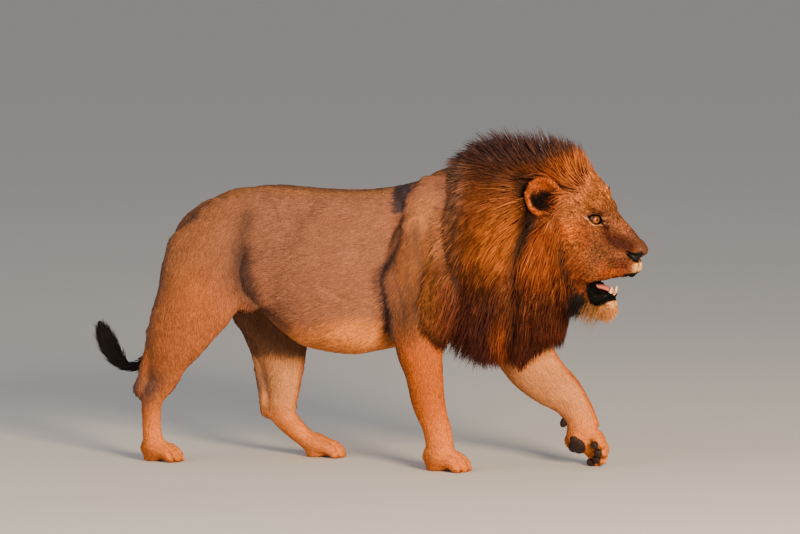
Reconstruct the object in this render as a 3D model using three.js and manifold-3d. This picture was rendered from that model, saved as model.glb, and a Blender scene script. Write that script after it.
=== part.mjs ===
// An adult male lion at life size, walking, as a still museum model.
// Millimetres, +Z up, +X forward (the way the lion walks), +Y the lion's left.
// Every body part is a rounded solid out to the tips of its hair. It is drawn from a few named
// masses: lofts along a straight axis, sweeps along a bent one and ellipsoids, blended together.
import * as THREE from "three";
import Module from "manifold-3d";

// ---------- driving dimensions ----------
const gap = 0.4;                 // clearance left at every cut between neighbouring parts
const eyeRadius = 19;            // eyeball
const eyeSide = 52;              // eyeball centre from the head's middle plane
const earWidth = 60, earHeight = 66, earDepth = 40;   // half sizes of the ear's cup
const pawScale = { fore: 1.0, hind: 0.9 };
const toeRow = [[-47, 26, 20.5], [-16.5, 42, 22.5], [17.5, 41, 22.5], [47, 24, 20.5]];  // across, ahead, half width
const headAt = [711, -70, 862];  // the point between the eyes
const headPitch = -8, headYaw = -10;

// trunk sections along X: place, back line, belly line, half width
const trunkRows = [
  [-740, 780, 690, 50], [-700, 835, 640, 85], [-650, 883, 610, 105], [-580, 930, 580, 120],
  [-500, 951, 525, 135], [-420, 957, 452, 158], [-340, 952, 398, 180], [-250, 946, 376, 194],
  [-150, 945, 371, 196], [-50, 954, 388, 186], [40, 973, 408, 170], [90, 990, 420, 160],
  [160, 1020, 430, 146], [250, 1040, 470, 130], [340, 990, 540, 110],
];
// mane sections up the neck: height, middle x and y, half length, half width
const maneRows = [
  [375, 430, -10, 60, 48], [430, 430, -10, 115, 95], [490, 420, -10, 165, 150], [560, 405, -11, 200, 198],
  [650, 395, -12, 222, 236], [740, 385, -13, 230, 244], [820, 372, -14, 215, 228], [900, 352, -14, 190, 196],
  [980, 336, -13, 168, 142], [1050, 330, -12, 140, 86], [1095, 325, -10, 95, 45],
];
// crest of the mane from the withers to the forehead: place, middle y and z, half width, half height
const crestRows = [
  [190, 0, 974, 40, 50], [290, -4, 992, 62, 84], [400, -12, 1030, 78, 90], [520, -34, 1028, 84, 88],
  [620, -50, 996, 84, 92], [690, -60, 965, 68, 84], [732, -66, 948, 42, 58],
];
// legs, sections up the limb: height, middle x and y, half length, half width
const foreRight = {
  rows: [
    [965, 146, -62, 62, 22], [925, 150, -82, 94, 35], [850, 170, -108, 112, 46], [760, 196, -135, 120, 52],
    [680, 203, -150, 117, 57], [600, 176, -160, 106, 59], [520, 135, -161, 99, 58], [460, 112, -157, 92, 58],
    [404, 109, -151, 83, 56], [316, 123, -143, 68, 50], [211, 140, -135, 60, 45], [130, 166, -130, 52, 47],
    [88, 172, -129, 50, 50], [50, 174, -129, 48, 51],
  ],
  lumps: [
    { at: [56, -158, 670], size: [66, 42, 200], pitch: -9, round: 44 },    // triceps
    { at: [34, -166, 482], size: [26, 24, 45], pitch: 12, round: 18 },     // point of the elbow
  ],
  paw: { at: [196, -130, -4], pitch: 0, yaw: -4, roll: 0, scale: pawScale.fore },
};
const foreLeft = {               // reaching forward: sections along a line that leans 60 degrees
  lean: 60, start: [120, 975],
  rows: [
    [25, 4, 62, 36, 22], [80, 10, 82, 62, 35], [170, 20, 108, 92, 46], [270, 18, 135, 104, 52],
    [360, 2, 150, 110, 57], [450, -28, 160, 110, 59], [560, -52, 161, 108, 58], [660, -58, 153, 102, 57],
    [743, -47, 144, 94, 53], [830, -14, 134, 82, 48], [887, 8, 127, 64, 46], [930, 14, 122, 57, 46],
    [975, 10, 118, 56, 48],
  ],
  lumps: [
    { at: [225, 158, 640], size: [66, 42, 200], pitch: 14, round: 44 },
    { at: [298, 162, 410], size: [26, 24, 45], pitch: -30, round: 18 },
  ],
  paw: { at: [618, 77, 58], pitch: -24, yaw: -4, roll: -50, scale: 1.05 * pawScale.fore },
};
const hindRight = {
  rows: [
    [840, -605, -72, 85, 38], [790, -636, -94, 130, 58], [700, -664, -126, 138, 70], [590, -676, -142, 144, 72],
    [495, -700, -150, 145, 69], [430, -733, -150, 120, 60], [377, -755, -145, 93, 53], [321, -784, -137, 66, 45],
    [286, -797, -131, 56, 41], [250, -822, -126, 55, 38], [205, -846, -123, 42, 34], [150, -849, -124, 36, 34],
    [95, -846, -127, 36, 38], [50, -840, -129, 38, 42],
  ],
  lumps: [
    { at: [-592, -72, 795], size: [145, 66, 98], pitch: 26, round: 30 },  // rump muscle
    { at: [-888, -122, 243], size: [24, 21, 34], pitch: 10, round: 22 },   // heel bone
    { at: [-860, -133, 325], size: [26, 15, 80], pitch: -16, round: 26 },  // web in front of the heel tendon
    { at: [-497, -114, 602], size: [88, 30, 78], pitch: 15, round: 44 },   // fold of skin from thigh to belly
  ],
  heel: true,
  cords: [[[-835, -146, 450, 22, 20], [-858, -137, 370, 15, 14], [-880, -128, 295, 14, 13], [-892, -123, 250, 18, 18]]],
  paw: { at: [-812, -131, -3], pitch: 0, yaw: -3, roll: 0, scale: pawScale.hind },
};
const hindLeft = {
  rows: [
    [840, -605, 72, 85, 38], [790, -628, 94, 132, 58], [700, -605, 126, 140, 70], [590, -555, 145, 145, 73],
    [500, -522, 153, 137, 71], [460, -507, 154, 130, 69], [404, -482, 152, 110, 63], [324, -463, 145, 86, 53],
    [262, -455, 137, 69, 45], [215, -451, 129, 58, 40], [180, -452, 123, 52, 37],
  ],
  lumps: [
    { at: [-592, 72, 795], size: [145, 66, 98], pitch: 26, round: 30 },
    { at: [-510, 118, 160], size: [22, 21, 27], pitch: -20, round: 20 },
    { at: [-524, 130, 240], size: [20, 15, 75], pitch: 16, round: 26 },
  ],
  heel: true,
  cords: [
    [[-585, 152, 430, 22, 20], [-553, 140, 330, 15, 14], [-531, 128, 245, 14, 13], [-517, 120, 170, 18, 18]],
    [[-470, 120, 165, 50, 37], [-440, 118, 130, 46, 36], [-405, 118, 93, 40, 35], [-370, 120, 64, 36, 38], [-345, 121, 52, 34, 42]],
  ],
  paw: { at: [-305, 122, -4], pitch: 0, yaw: 3, roll: 0, scale: pawScale.hind },
};
// tail and its tuft along their middle line: x, y, z, half thickness in the plane of the bend and across it
const tailRows = [
  [-680, 0, 845, 34, 34], [-730, 0, 820, 34, 34], [-768, 0, 778, 31, 30], [-796, 0, 710, 27, 26], [-818, 0, 635, 24, 23],
  [-842, 0, 540, 21, 21], [-866, 0, 440, 20, 19], [-888, 0, 360, 19, 18], [-925, 0, 312, 18, 17], [-975, 0, 308, 18, 18],
];
const tuftRows = [
  [-962, 0, 305, 18, 18], [-1000, 0, 322, 27, 24], [-1035, 0, 365, 36, 31], [-1060, 0, 415, 32, 28], [-1078, 0, 460, 12, 12],
];

// ---------- masses: each is a function (x, y, z) that is negative inside ----------
const rad = (deg) => (deg * Math.PI) / 180;
const blend = (a, b, k) => {
  const h = Math.max(k - Math.abs(a - b), 0) / k;
  return Math.min(a, b) - h * h * k * 0.25;
};
const carve = (a, b, k) => -blend(-a, b, k);
const ellipse = (n, w, d, rn, rw, rd) => {
  const k0 = Math.hypot(n / rn, w / rw, d / rd);
  const k1 = Math.hypot(n / rn ** 2, w / rw ** 2, d / rd ** 2);
  return k1 < 1e-9 ? -Math.min(rn, rw, rd) : (k0 * (k0 - 1)) / k1;
};
// turning: roll about X, then pitch (nose up is positive), then yaw (to the left is positive)
function turning(pitch = 0, yaw = 0, roll = 0) {
  const e = new THREE.Euler(rad(roll), -rad(pitch), rad(yaw), "ZYX");
  return new THREE.Matrix4().makeRotationFromEuler(e);
}
function ball(at, size, pitch = 0, yaw = 0, roll = 0) {
  const m = turning(pitch, yaw, roll).elements;
  return (x, y, z) => {
    const a = x - at[0], b = y - at[1], c = z - at[2];
    return ellipse(m[0] * a + m[1] * b + m[2] * c, m[4] * a + m[5] * b + m[6] * c, m[8] * a + m[9] * b + m[10] * c, ...size);
  };
}
function between(rows, s) {            // smooth interpolation of a table by its first column
  const n = rows.length;
  let i = 0;
  while (i < n - 2 && s > rows[i + 1][0]) i++;
  const h = rows[i + 1][0] - rows[i][0];
  const t = Math.min(Math.max((s - rows[i][0]) / h, 0), 1);
  const slope = (j, c) => {
    const a = Math.max(j - 1, 0), b = Math.min(j + 1, n - 1);
    if (a === j || b === j) return (rows[b][c] - rows[a][c]) / (rows[b][0] - rows[a][0]);
    const h0 = rows[j][0] - rows[a][0], h1 = rows[b][0] - rows[j][0];
    return ((rows[b][c] - rows[j][c]) / h1 * h0 + (rows[j][c] - rows[a][c]) / h0 * h1) / (h0 + h1);
  };
  return rows[i].map((v, c) => c === 0 ? s :
    (2 * t ** 3 - 3 * t ** 2 + 1) * v + (t ** 3 - 2 * t ** 2 + t) * h * slope(i, c)
    + (-2 * t ** 3 + 3 * t ** 2) * rows[i + 1][c] + (t ** 3 - t ** 2) * h * slope(i + 1, c));
}
function loft(table, { lean = null, start = [0, 0], axis = "z", power = 2.1, lip = 30 } = {}) {
  const rows = [...table].sort((a, b) => a[0] - b[0]);
  const lo = rows[0][0], hi = rows[rows.length - 1][0];
  const c = Math.cos(rad(lean ?? 0)), d = Math.sin(rad(lean ?? 0));
  return (x, y, z) => {
    let s = z, a = x, b = y;
    if (axis === "x") [s, a, b] = [x, y, z];
    if (lean !== null) {
      const u = x - start[0], v = z - start[1];
      [s, a, b] = [u * c - v * d, u * d + v * c, y];
    }
    const sc = Math.min(Math.max(s, lo), hi);
    const [, ca, cb, ra, rb] = between(rows, sc);
    const q = (Math.abs((a - ca) / ra) ** power + Math.abs((b - cb) / rb) ** power) ** (1 / power);
    const k0 = Math.hypot((a - ca) / ra, (b - cb) / rb), k1 = Math.hypot((a - ca) / ra ** 2, (b - cb) / rb ** 2);
    const small = Math.min(ra, rb), large = Math.max(ra, rb);
    const out = (q - 1) * Math.min(Math.max(k1 > 1e-6 ? k0 / k1 : small, small), large);
    const over = Math.abs(s - sc);
    return over > 0 ? Math.hypot(Math.max(out + lip, 0), over) - lip + Math.min(out + lip, 0) : out;
  };
}
const rumpMass = ball([-610, 0, 812], [140, 98, 97], 24);
function trunkMass(x, y, z) {
  const lip = 50;
  const xc = Math.min(Math.max(x, trunkRows[0][0]), trunkRows.at(-1)[0]);
  const [, top, bottom, half] = between(trunkRows, xc);
  const mid = (top + bottom) / 2, tall = (top - bottom) / 2;
  const v = (z - mid) / tall, vc = Math.min(Math.max(v, -1), 1);
  const wide = half * (1 - 0.1 * vc - 0.05 * vc * vc);      // narrower over the back than at the belly
  const q = (Math.abs(y / wide) ** 2.2 + Math.abs(v) ** 2.2) ** (1 / 2.2);
  const out = Math.max(q - 1, -1) * Math.min(wide, tall) * 0.9;
  const over = Math.abs(x - xc);
  const length = over > 0 ? Math.hypot(Math.max(out + lip, 0), over) - lip + Math.min(out + lip, 0) : out;
  return blend(length, rumpMass(x, y, z), 40);
}
function cord(rows, steps = 3) {       // a chain of short tapering ellipsoids along a bent line
  const pts = [];
  const line = new THREE.CatmullRomCurve3(rows.map((r) => new THREE.Vector3(r[0], r[1], r[2])), false, "catmullrom", 0.5);
  for (let i = 0; i <= (rows.length - 1) * steps; i++) {
    const u = i / steps, j = Math.min(Math.floor(u), rows.length - 2), t = u - j;
    const p = line.getPoint(i / ((rows.length - 1) * steps));
    pts.push([p.x, p.y, p.z, rows[j][3] + (rows[j + 1][3] - rows[j][3]) * t, rows[j][4] + (rows[j + 1][4] - rows[j][4]) * t]);
  }
  return (x, y, z) => {
    let best = 1e9;
    for (let i = 0; i < pts.length - 1; i++) {
      const [ax, ay, az, an, aw] = pts[i], [bx, by, bz, bn, bw] = pts[i + 1];
      const dx = bx - ax, dy = by - ay, dz = bz - az, len = Math.hypot(dx, dy, dz);
      const px = x - ax, py = y - ay, pz = z - az;
      const t = Math.min(Math.max((px * dx + py * dy + pz * dz) / (len * len), 0), 1);
      const rn = an + (bn - an) * t, rw = aw + (bw - aw) * t;
      const qx = px - dx * t, qy = py - dy * t, qz = pz - dz * t;
      const along = (qx * dx + qy * dy + qz * dz) / len;
      const plane = Math.hypot(qx - (along * dx) / len, qz - (along * dz) / len);
      best = Math.min(best, ellipse(plane, qy - (along * dy) / len, along, rn, rw, Math.min(rn, rw)));
    }
    return best;
  };
}
function pawMass({ at, pitch, yaw, roll, scale }) {
  const m = turning(pitch, yaw, roll).elements;
  const sole = ball([-18, 0, 48], [66, 56, 44], -12), heel = ball([-40, 0, 20], [34, 40, 24]);
  const toes = toeRow.map(([across, ahead, half]) => cord([
    [ahead - 45, across * 0.8, 52, 26, half * 0.95], [ahead - 10, across * 0.95, 47, 27, half],
    [ahead + 14, across, 32, 25, half], [ahead + 24, across * 1.02, 20, 20, half * 0.88]], 2));
  return (x, y, z) => {
    const a = (x - at[0]) / scale, b = (y - at[1]) / scale, c = (z - at[2]) / scale;
    const q = [m[0] * a + m[1] * b + m[2] * c, m[4] * a + m[5] * b + m[6] * c, m[8] * a + m[9] * b + m[10] * c];
    let f = blend(sole(...q), heel(...q), 20);
    for (const toe of toes) f = blend(f, toe(...q), 10);
    return f * scale;
  };
}
function limbMass(leg) {
  const shaft = loft(leg.rows, { lean: leg.lean ?? null, start: leg.start });
  const lumps = leg.lumps.map((l) => [ball(l.at, l.size, l.pitch), l.round]);
  const cords = (leg.cords ?? []).map((c) => cord(c));
  const paw = pawMass(leg.paw);
  return (x, y, z) => {
    let f = shaft(x, y, z);
    for (const [lump, round] of lumps) f = blend(f, lump(x, y, z), round);
    for (const c of cords) f = blend(f, c(x, y, z), 22);
    return blend(f, paw(x, y, z), 22);
  };
}

// the head's own frame: x along the palate, y to its left, z up, from the point between the eyes
const pair = (mass) => (x, y, z) => mass(x, Math.abs(y), z);
const headParts = [
  // mass, rounding into the rest
  [loft([[-45, 0, 54, 62, 62], [20, 0, 15, 47, 52], [75, 0, -27, 38, 44], [125, 0, -58, 31, 38], [150, 0, -76, 28, 34]], { axis: "x", lip: 20 }), 30], // bridge
  [loft([[-130, 0, -60, 70, 70], [-60, 0, -80, 62, 90], [20, 0, -95, 46, 76], [90, 0, -98, 34, 54], [138, 0, -100, 22, 34]], { axis: "x", lip: 20 }), 6], // core of the head
  [pair(ball([3, 50, 41], [42, 25, 24], -38, -12)), 24],          // brow
  [pair(ball([-62, 80, -42], [82, 40, 50], -12, -16)), 35],       // cheekbone
  [pair(ball([-80, 78, -125], [85, 48, 90])), 50],                // jaw muscle
  [pair(ball([45, 36, -80], [80, 38, 60], -14)), 30],             // upper jaw
  [pair(ball([50, 48, -150], [70, 28, 50], 10, 10)), 35],         // upper lips
  [pair(ball([-10, 64, -175], [60, 30, 46], 25, 8)), 40],         // behind the mouth
  [pair(ball([112, 33, -139], [52, 32, 42], -4, -10)), 14],       // whisker pads
  [ball([140, 0, -131], [24, 27, 50]), 10],                       // groove under the nose
  [ball([158, 0, -79], [30, 32, 27], -32), 10],                   // nose
  [pair(ball([143, 19, -84], [28, 15, 20], -24)), 10],            // wings of the nose
];
const braincase = ball([-105, 0, 16], [135, 98, 94], -4);
const eyeHollow = pair(ball([22, 71, 2], [26, 12, 13], -30, -30));
function headMass(x, y, z) {
  let f = braincase(x, y, z);
  for (const [mass, round] of headParts) f = blend(f, mass(x, y, z), round);
  return carve(f, eyeHollow(x, y, z), 22);
}
const jawParts = [
  [ball([64, 0, -286], [34, 35, 34], 10), 20],                    // chin with its beard
  [ball([-40, 0, -225], [100, 45, 45], -16), 30],                 // throat
  [pair(ball([52, 44, -258], [48, 10, 20], 8, -28)), 12],         // hanging lower lip
];
const jawBone = pair(loft([[-120, 66, -150, 34, 62], [-60, 62, -200, 30, 50], [0, 50, -244, 24, 36], [40, 33, -266, 22, 30], [70, 16, -274, 20, 26]], { axis: "x", lip: 20 }));
function jawMass(x, y, z) {
  let f = jawBone(x, y, z);
  for (const [mass, round] of jawParts) f = blend(f, mass(x, y, z), round);
  return f;
}

// ---------- solids from masses ----------
// A solid of rings: at each station, rays go out from the axis to the first point where the mass ends.
function reach(mass, o, dir, far = 420, grow = 0) {
  let a = 0, b = 0;
  const at = (t) => mass(o.x + dir.x * t, o.y + dir.y * t, o.z + dir.z * t);
  while (b < far && at(b) < 0) { a = b; b += 5; }
  for (let i = 0; i < 22; i++) {
    const t = (a + b) / 2;
    if (at(t) < 0) a = t; else b = t;
  }
  return a + grow;
}
function ringSolid(mass, axis, rings, sides, { side = new THREE.Vector3(0, 1, 0), grow = 0, flat = [false, false] } = {}) {
  const pos = [], tri = [];
  const at = (u) => axis.getPoint(u);
  const along = (u) => at(Math.min(u + 0.07, 1)).sub(at(Math.max(u - 0.07, 0))).normalize();   // an even turn from ring to ring
  const tip = [0, 1].map((e) => {
    const dir = along(e).multiplyScalar(e ? 1 : -1), p = at(e);
    return p.clone().addScaledVector(dir, flat[e] ? grow : reach(mass, p, dir, 420, grow));
  });
  const stations = [];
  for (let i = 0; i < rings; i++) {
    // closer together near a rounded end
    const u = i / (rings - 1);
    const p = at(u), dir = along(u);
    if (flat[0] && i === 0) p.addScaledVector(dir, -grow);
    if (flat[1] && i === rings - 1) p.addScaledVector(dir, grow);
    stations.push([p, dir]);
  }
  for (const e of [0, 1]) {                        // two more rings over each rounded end
    if (flat[e]) continue;
    const p = at(e), dir = along(e), length = tip[e].distanceTo(p);
    const extra = [0.45, 0.8].map((k) => [p.clone().addScaledVector(dir, (e ? 1 : -1) * length * k), dir]);
    if (e) stations.push(...extra); else stations.unshift(...extra.reverse());
  }
  for (const [p, dir] of stations) {
    const w = side.clone().addScaledVector(dir, -side.dot(dir)).normalize();
    const n = new THREE.Vector3().crossVectors(dir, w);
    for (let j = 0; j < sides; j++) {
      const a = (2 * Math.PI * j) / sides;
      const ray = n.clone().multiplyScalar(Math.cos(a)).addScaledVector(w, Math.sin(a));
      const r = reach(mass, p, ray, 420, grow);
      pos.push(p.x + ray.x * r, p.y + ray.y * r, p.z + ray.z * r);
    }
  }
  const count = stations.length, first = count * sides;
  pos.push(tip[0].x, tip[0].y, tip[0].z, tip[1].x, tip[1].y, tip[1].z);
  for (let i = 0; i < count - 1; i++)
    for (let j = 0; j < sides; j++) {
      const k = (j + 1) % sides, a = i * sides + j, b = i * sides + k, c = a + sides, d = b + sides;
      tri.push(a, b, d, a, d, c);
    }
  for (let j = 0; j < sides; j++) {
    const k = (j + 1) % sides;
    tri.push(first, k, j, first + 1, (count - 1) * sides + j, (count - 1) * sides + k);
  }
  return { pos, tri };
}
const line = (...pts) => {
  const v = pts.map((p) => new THREE.Vector3(...p));
  return v.length === 2 ? new THREE.LineCurve3(...v) : new THREE.CatmullRomCurve3(v, false, "catmullrom", 0.5);
};

// ---------- joining and cutting ----------
const wasm = await Module();
wasm.setup();
function solid({ pos, tri }) {
  const mesh = new wasm.Mesh({ numProp: 3, vertProperties: Float32Array.from(pos), triVerts: Uint32Array.from(tri) });
  mesh.merge();
  let m = new wasm.Manifold(mesh);
  if (m.volume() < 0) {
    const turned = [];
    for (let i = 0; i < tri.length; i += 3) turned.push(tri[i], tri[i + 2], tri[i + 1]);
    const again = new wasm.Mesh({ numProp: 3, vertProperties: Float32Array.from(pos), triVerts: Uint32Array.from(turned) });
    again.merge();
    m = new wasm.Manifold(again);
  }
  return m;
}
function fromGeometry(geometry) {
  const g = geometry.index ? geometry : geometry.clone();
  const p = g.attributes.position;
  const tri = g.index ? Array.from(g.index.array) : Array.from({ length: p.count }, (_, i) => i);
  return solid({ pos: Array.from(p.array), tri });
}
const largest = (m) => m.decompose().reduce((a, b) => (a.volume() > b.volume() ? a : b));
const toBody = new THREE.Matrix4().makeTranslation(...headAt).multiply(turning(headPitch, headYaw));
const placed = (data, matrix) => {
  const v = new THREE.Vector3(), pos = [];
  for (let i = 0; i < data.pos.length; i += 3) {
    v.set(data.pos[i], data.pos[i + 1], data.pos[i + 2]).applyMatrix4(matrix);
    pos.push(v.x, v.y, v.z);
  }
  return { pos, tri: data.tri };
};
const block = (x0, x1, y0, y1, z0, z1) =>
  fromGeometry(new THREE.BoxGeometry(x1 - x0, y1 - y0, z1 - z0).translate((x0 + x1) / 2, (y0 + y1) / 2, (z0 + z1) / 2));

function makeLeg(leg, grow) {
  // one run of rings down the limb, round the wrist or hock and out to the toes
  const mass = limbMass(leg), shaft = [];
  const c = Math.cos(rad(leg.lean ?? 0)), d = Math.sin(rad(leg.lean ?? 0));
  for (const [s, a, b] of leg.rows) {
    if (leg.lean !== undefined) shaft.push([leg.start[0] + s * c + a * d, b, leg.start[1] - s * d + a * c]);
    else if (s > 60) shaft.push([a, b, s]);
  }
  if (leg.cords?.length > 1) for (const r of leg.cords[1].slice(1, 4)) shaft.push(r.slice(0, 3));
  const m = turning(leg.paw.pitch, leg.paw.yaw, leg.paw.roll);
  for (const spot of [[-12, 0, 50], [14, 0, 37], [42, 0, 27]]) {
    const v = new THREE.Vector3(...spot).multiplyScalar(leg.paw.scale).applyMatrix4(m);
    shaft.push([v.x + leg.paw.at[0], v.y + leg.paw.at[1], v.z + leg.paw.at[2]]);
  }
  return solid(ringSolid(mass, line(...shaft), leg.heel ? 21 : 18, 14, { grow })).intersect(block(-2000, 2000, -600, 600, 0, 2000));
}

function makeEar(hand, grow) {
  // a cupped disc: the outer face is half an ellipsoid, the inner face a shallower one
  const rings = 4, sides = 12, pos = [], tri = [];
  const shell = (depth, k) => {
    for (let i = 1; i <= rings; i++) {
      const a = (i / rings) * (Math.PI / 2), r = Math.sin(a) * k;
      for (let j = 0; j < sides; j++) {
        const t = (2 * Math.PI * j) / sides;
        pos.push(-Math.cos(a) * depth, Math.cos(t) * r * earWidth, Math.sin(t) * r * earHeight);
      }
    }
  };
  shell(earDepth + grow, 1 + grow / earWidth);
  pos.push(-earDepth - grow, 0, 0);
  if (!grow) { shell(earDepth - 14, 0.84); pos.push(-earDepth + 14, 0, 0); } else pos.push(grow, 0, 0);
  const centre = rings * sides;
  const fan = (base, mid, turn) => {
    for (let j = 0; j < sides; j++) {
      const k = (j + 1) % sides;
      tri.push(...(turn ? [mid, base + k, base + j] : [mid, base + j, base + k]));
      for (let i = 0; i < rings - 1; i++) {
        const a = base + i * sides + j, b = base + i * sides + k;
        tri.push(...(turn ? [a, b, b + sides, a, b + sides, a + sides] : [a, b + sides, b, a, a + sides, b + sides]));
      }
    }
  };
  fan(0, centre, false);
  const rim = (rings - 1) * sides;
  if (!grow) {
    const inner = centre + 1;
    fan(inner, inner + centre, true);
    for (let j = 0; j < sides; j++) {
      const k = (j + 1) % sides;
      tri.push(rim + j, inner + rim + j, inner + rim + k, rim + j, inner + rim + k, rim + k);
    }
  } else for (let j = 0; j < sides; j++) tri.push(rim + j, centre + 1, rim + (j + 1) % sides);
  const seat = new THREE.Matrix4().makeTranslation(-170, hand * 108, 50)
    .multiply(turning(10, hand * 62, hand * -14));
  return solid(placed({ pos, tri }, toBody.clone().multiply(seat)));
}

const lens = (x, y, z, rx, ry, rz, pitch = 0, yaw = 0, wide = 12, high = 6) => {
  const g = new THREE.SphereGeometry(1, wide, high);
  g.deleteAttribute("normal"); g.deleteAttribute("uv");
  g.applyMatrix4(new THREE.Matrix4().makeScale(rx, ry, rz));
  g.applyMatrix4(turning(pitch, yaw)).translate(x, y, z).applyMatrix4(toBody);
  return fromGeometry(g);
};
const fang = (x, y, z, lengthMm, radius, pitch, lean) => {       // a tapering, slightly bent tooth
  const rows = [[0, 0], [0.35, 0.28], [0.7, 0.5], [1, 0.62]];
  const profile = [new THREE.Vector2(0, -0.25 * lengthMm), new THREE.Vector2(radius, -0.2 * lengthMm), new THREE.Vector2(radius, 0)];
  for (const [k] of rows.slice(1)) profile.push(new THREE.Vector2(k < 1 ? radius * (1 - k * 0.75) : 0, lengthMm * k));
  const g = new THREE.LatheGeometry(profile, 8);
  g.deleteAttribute("normal"); g.deleteAttribute("uv");
  g.rotateX(Math.PI / 2);
  const p = g.attributes.position;
  for (let i = 0; i < p.count; i++) p.setX(i, p.getX(i) - 0.0022 * lean * Math.max(p.getZ(i), 0) ** 2);
  g.applyMatrix4(turning(pitch, 0)).translate(x, y, z).applyMatrix4(toBody);
  return fromGeometry(g);
};

// ---------- the parts ----------
// Each part is made at its own size, or grown by the gap to cut the parts after it in this list.
const headLine = line([-160, 0, -30], [-80, 0, -60], [0, 0, -85], [80, 0, -98], [146, 0, -100]);
const jawLine = line([-100, 0, -200], [-30, 0, -235], [30, 0, -268], [70, 0, -284]);
const trunkLine = line([-700, 0, 740], [-560, 0, 750], [-380, 0, 690], [-150, 0, 655], [60, 0, 680], [200, 0, 720]);
const maneLine = line([430, -10, 400], [405, -11, 560], [395, -13, 700], [400, -14, 850], [410, -13, 980], [420, -11, 1070]);
const tailLine = line(...tailRows.map((r) => r.slice(0, 3))), tuftLine = line(...tuftRows.map((r) => r.slice(0, 3)));
const tailMass = cord(tailRows), tuftMass = cord(tuftRows);
const mantle = loft(maneRows, { lip: 30 }), crest = loft(crestRows, { axis: "x", lip: 20 });
const maneMass = (x, y, z) => blend(mantle(x, y, z), crest(x, y, z), 40);
const headSolid = (grow) => solid(placed(ringSolid(headMass, headLine, 12, 19, { grow }), toBody));
const make = {
  eye_right: (g) => lens(0, -eyeSide, 0, eyeRadius + g, eyeRadius + g, eyeRadius + g),
  eye_left: (g) => lens(0, eyeSide, 0, eyeRadius + g, eyeRadius + g, eyeRadius + g),
  canine_right: (g) => fang(76, -21, -252, 34, 8 + g, 12, 1),
  canine_left: (g) => fang(76, 21, -252, 34, 8 + g, 12, 1),
  tongue: (g) => lens(40, 0, -238, 56 + g, 21 + g, 9 + g, -6),
  nose: (g) => {
    const leather = solid(placed(ringSolid(ball([165, 0, -80], [34, 34, 30], -32), line([150, 0, -75], [178, 0, -84]), 4, 12, { grow: g }), toBody));
    return g ? leather : leather.intersect(headSolid(0));
  },
  head: (g) => (g ? headSolid(g) : headSolid(0).subtract(lens(70, 0, -205, 62, 34, 22, -14))),   // less the roof of the mouth
  lower_jaw: (g) => {
    const jaw = solid(placed(ringSolid(jawMass, jawLine, 6, 11, { grow: g }), toBody));
    return g ? jaw : jaw.subtract(lens(56, 0, -230, 50, 26, 18, -12));
  },
  ear_right: (g) => makeEar(-1, g),
  ear_left: (g) => makeEar(1, g),
  foreleg_right: (g) => makeLeg(foreRight, g),
  foreleg_left: (g) => makeLeg(foreLeft, g),
  hindleg_right: (g) => makeLeg(hindRight, g),
  hindleg_left: (g) => makeLeg(hindLeft, g),
  tail_tuft: (g) => solid(ringSolid(tuftMass, tuftLine, 6, 10, { grow: g })),
  trunk: (g) => solid(ringSolid(trunkMass, trunkLine, 12, 16, { grow: g, flat: [false, true] })),
  tail: (g) => solid(ringSolid(tailMass, tailLine, 12, 8, { grow: g })),
  neck_mane: (g) => solid(ringSolid(maneMass, maneLine, 10, 20, { grow: g })),
};
const names = Object.keys(make), parts = {};
const meets = (a, b) => {
  const p = a.boundingBox(), q = b.boundingBox();
  return [0, 1, 2].every((i) => p.min[i] < q.max[i] && q.min[i] < p.max[i]);
};
const grown = Object.fromEntries(names.map((name) => [name, make[name](gap)]));
names.forEach((name, i) => {
  let body = make[name](0);
  for (const other of names.slice(0, i)) if (meets(body, grown[other])) body = body.subtract(grown[other]).subtract(parts[other]);
  parts[name] = largest(body);
});

// ---------- the group ----------
const looks = {
  head: [0xb9793f, 0.85], lower_jaw: [0xc08a55, 0.85], nose: [0x4a3230, 0.5], tongue: [0xc4706a, 0.4],
  canine_right: [0xe6cf9c, 0.35], canine_left: [0xe6cf9c, 0.35], ear_right: [0xb06c30, 0.9], ear_left: [0xb06c30, 0.9],
  eye_right: [0xb0762c, 0.1], eye_left: [0xb0762c, 0.1], neck_mane: [0x7a3f18, 0.9], trunk: [0xb98450, 0.85],
  foreleg_right: [0xbd8650, 0.85], foreleg_left: [0xc08c58, 0.85], hindleg_right: [0xba844e, 0.85], hindleg_left: [0xbe8a55, 0.85],
  tail: [0xb07c48, 0.85], tail_tuft: [0x241a16, 0.9],
};
const group = new THREE.Group();
group.name = "lion";
for (const [name, [colour, roughness]] of Object.entries(looks)) {
  const m = parts[name].getMesh();
  const g = new THREE.BufferGeometry();
  g.setAttribute("position", new THREE.BufferAttribute(Float32Array.from(m.vertProperties), 3));
  g.setIndex(new THREE.BufferAttribute(Uint32Array.from(m.triVerts), 1));
  const mesh = new THREE.Mesh(g.toNonIndexed(), new THREE.MeshStandardMaterial({ color: colour, roughness, metalness: 0 }));
  mesh.name = name;
  group.add(mesh);
}
// the middle of the model's footprint becomes the origin, the floor stays at z = 0
const box = new THREE.Box3().setFromObject(group), mid = box.getCenter(new THREE.Vector3());
for (const mesh of group.children) mesh.geometry.translate(-mid.x, -mid.y, -box.min.z);

export default group;
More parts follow.
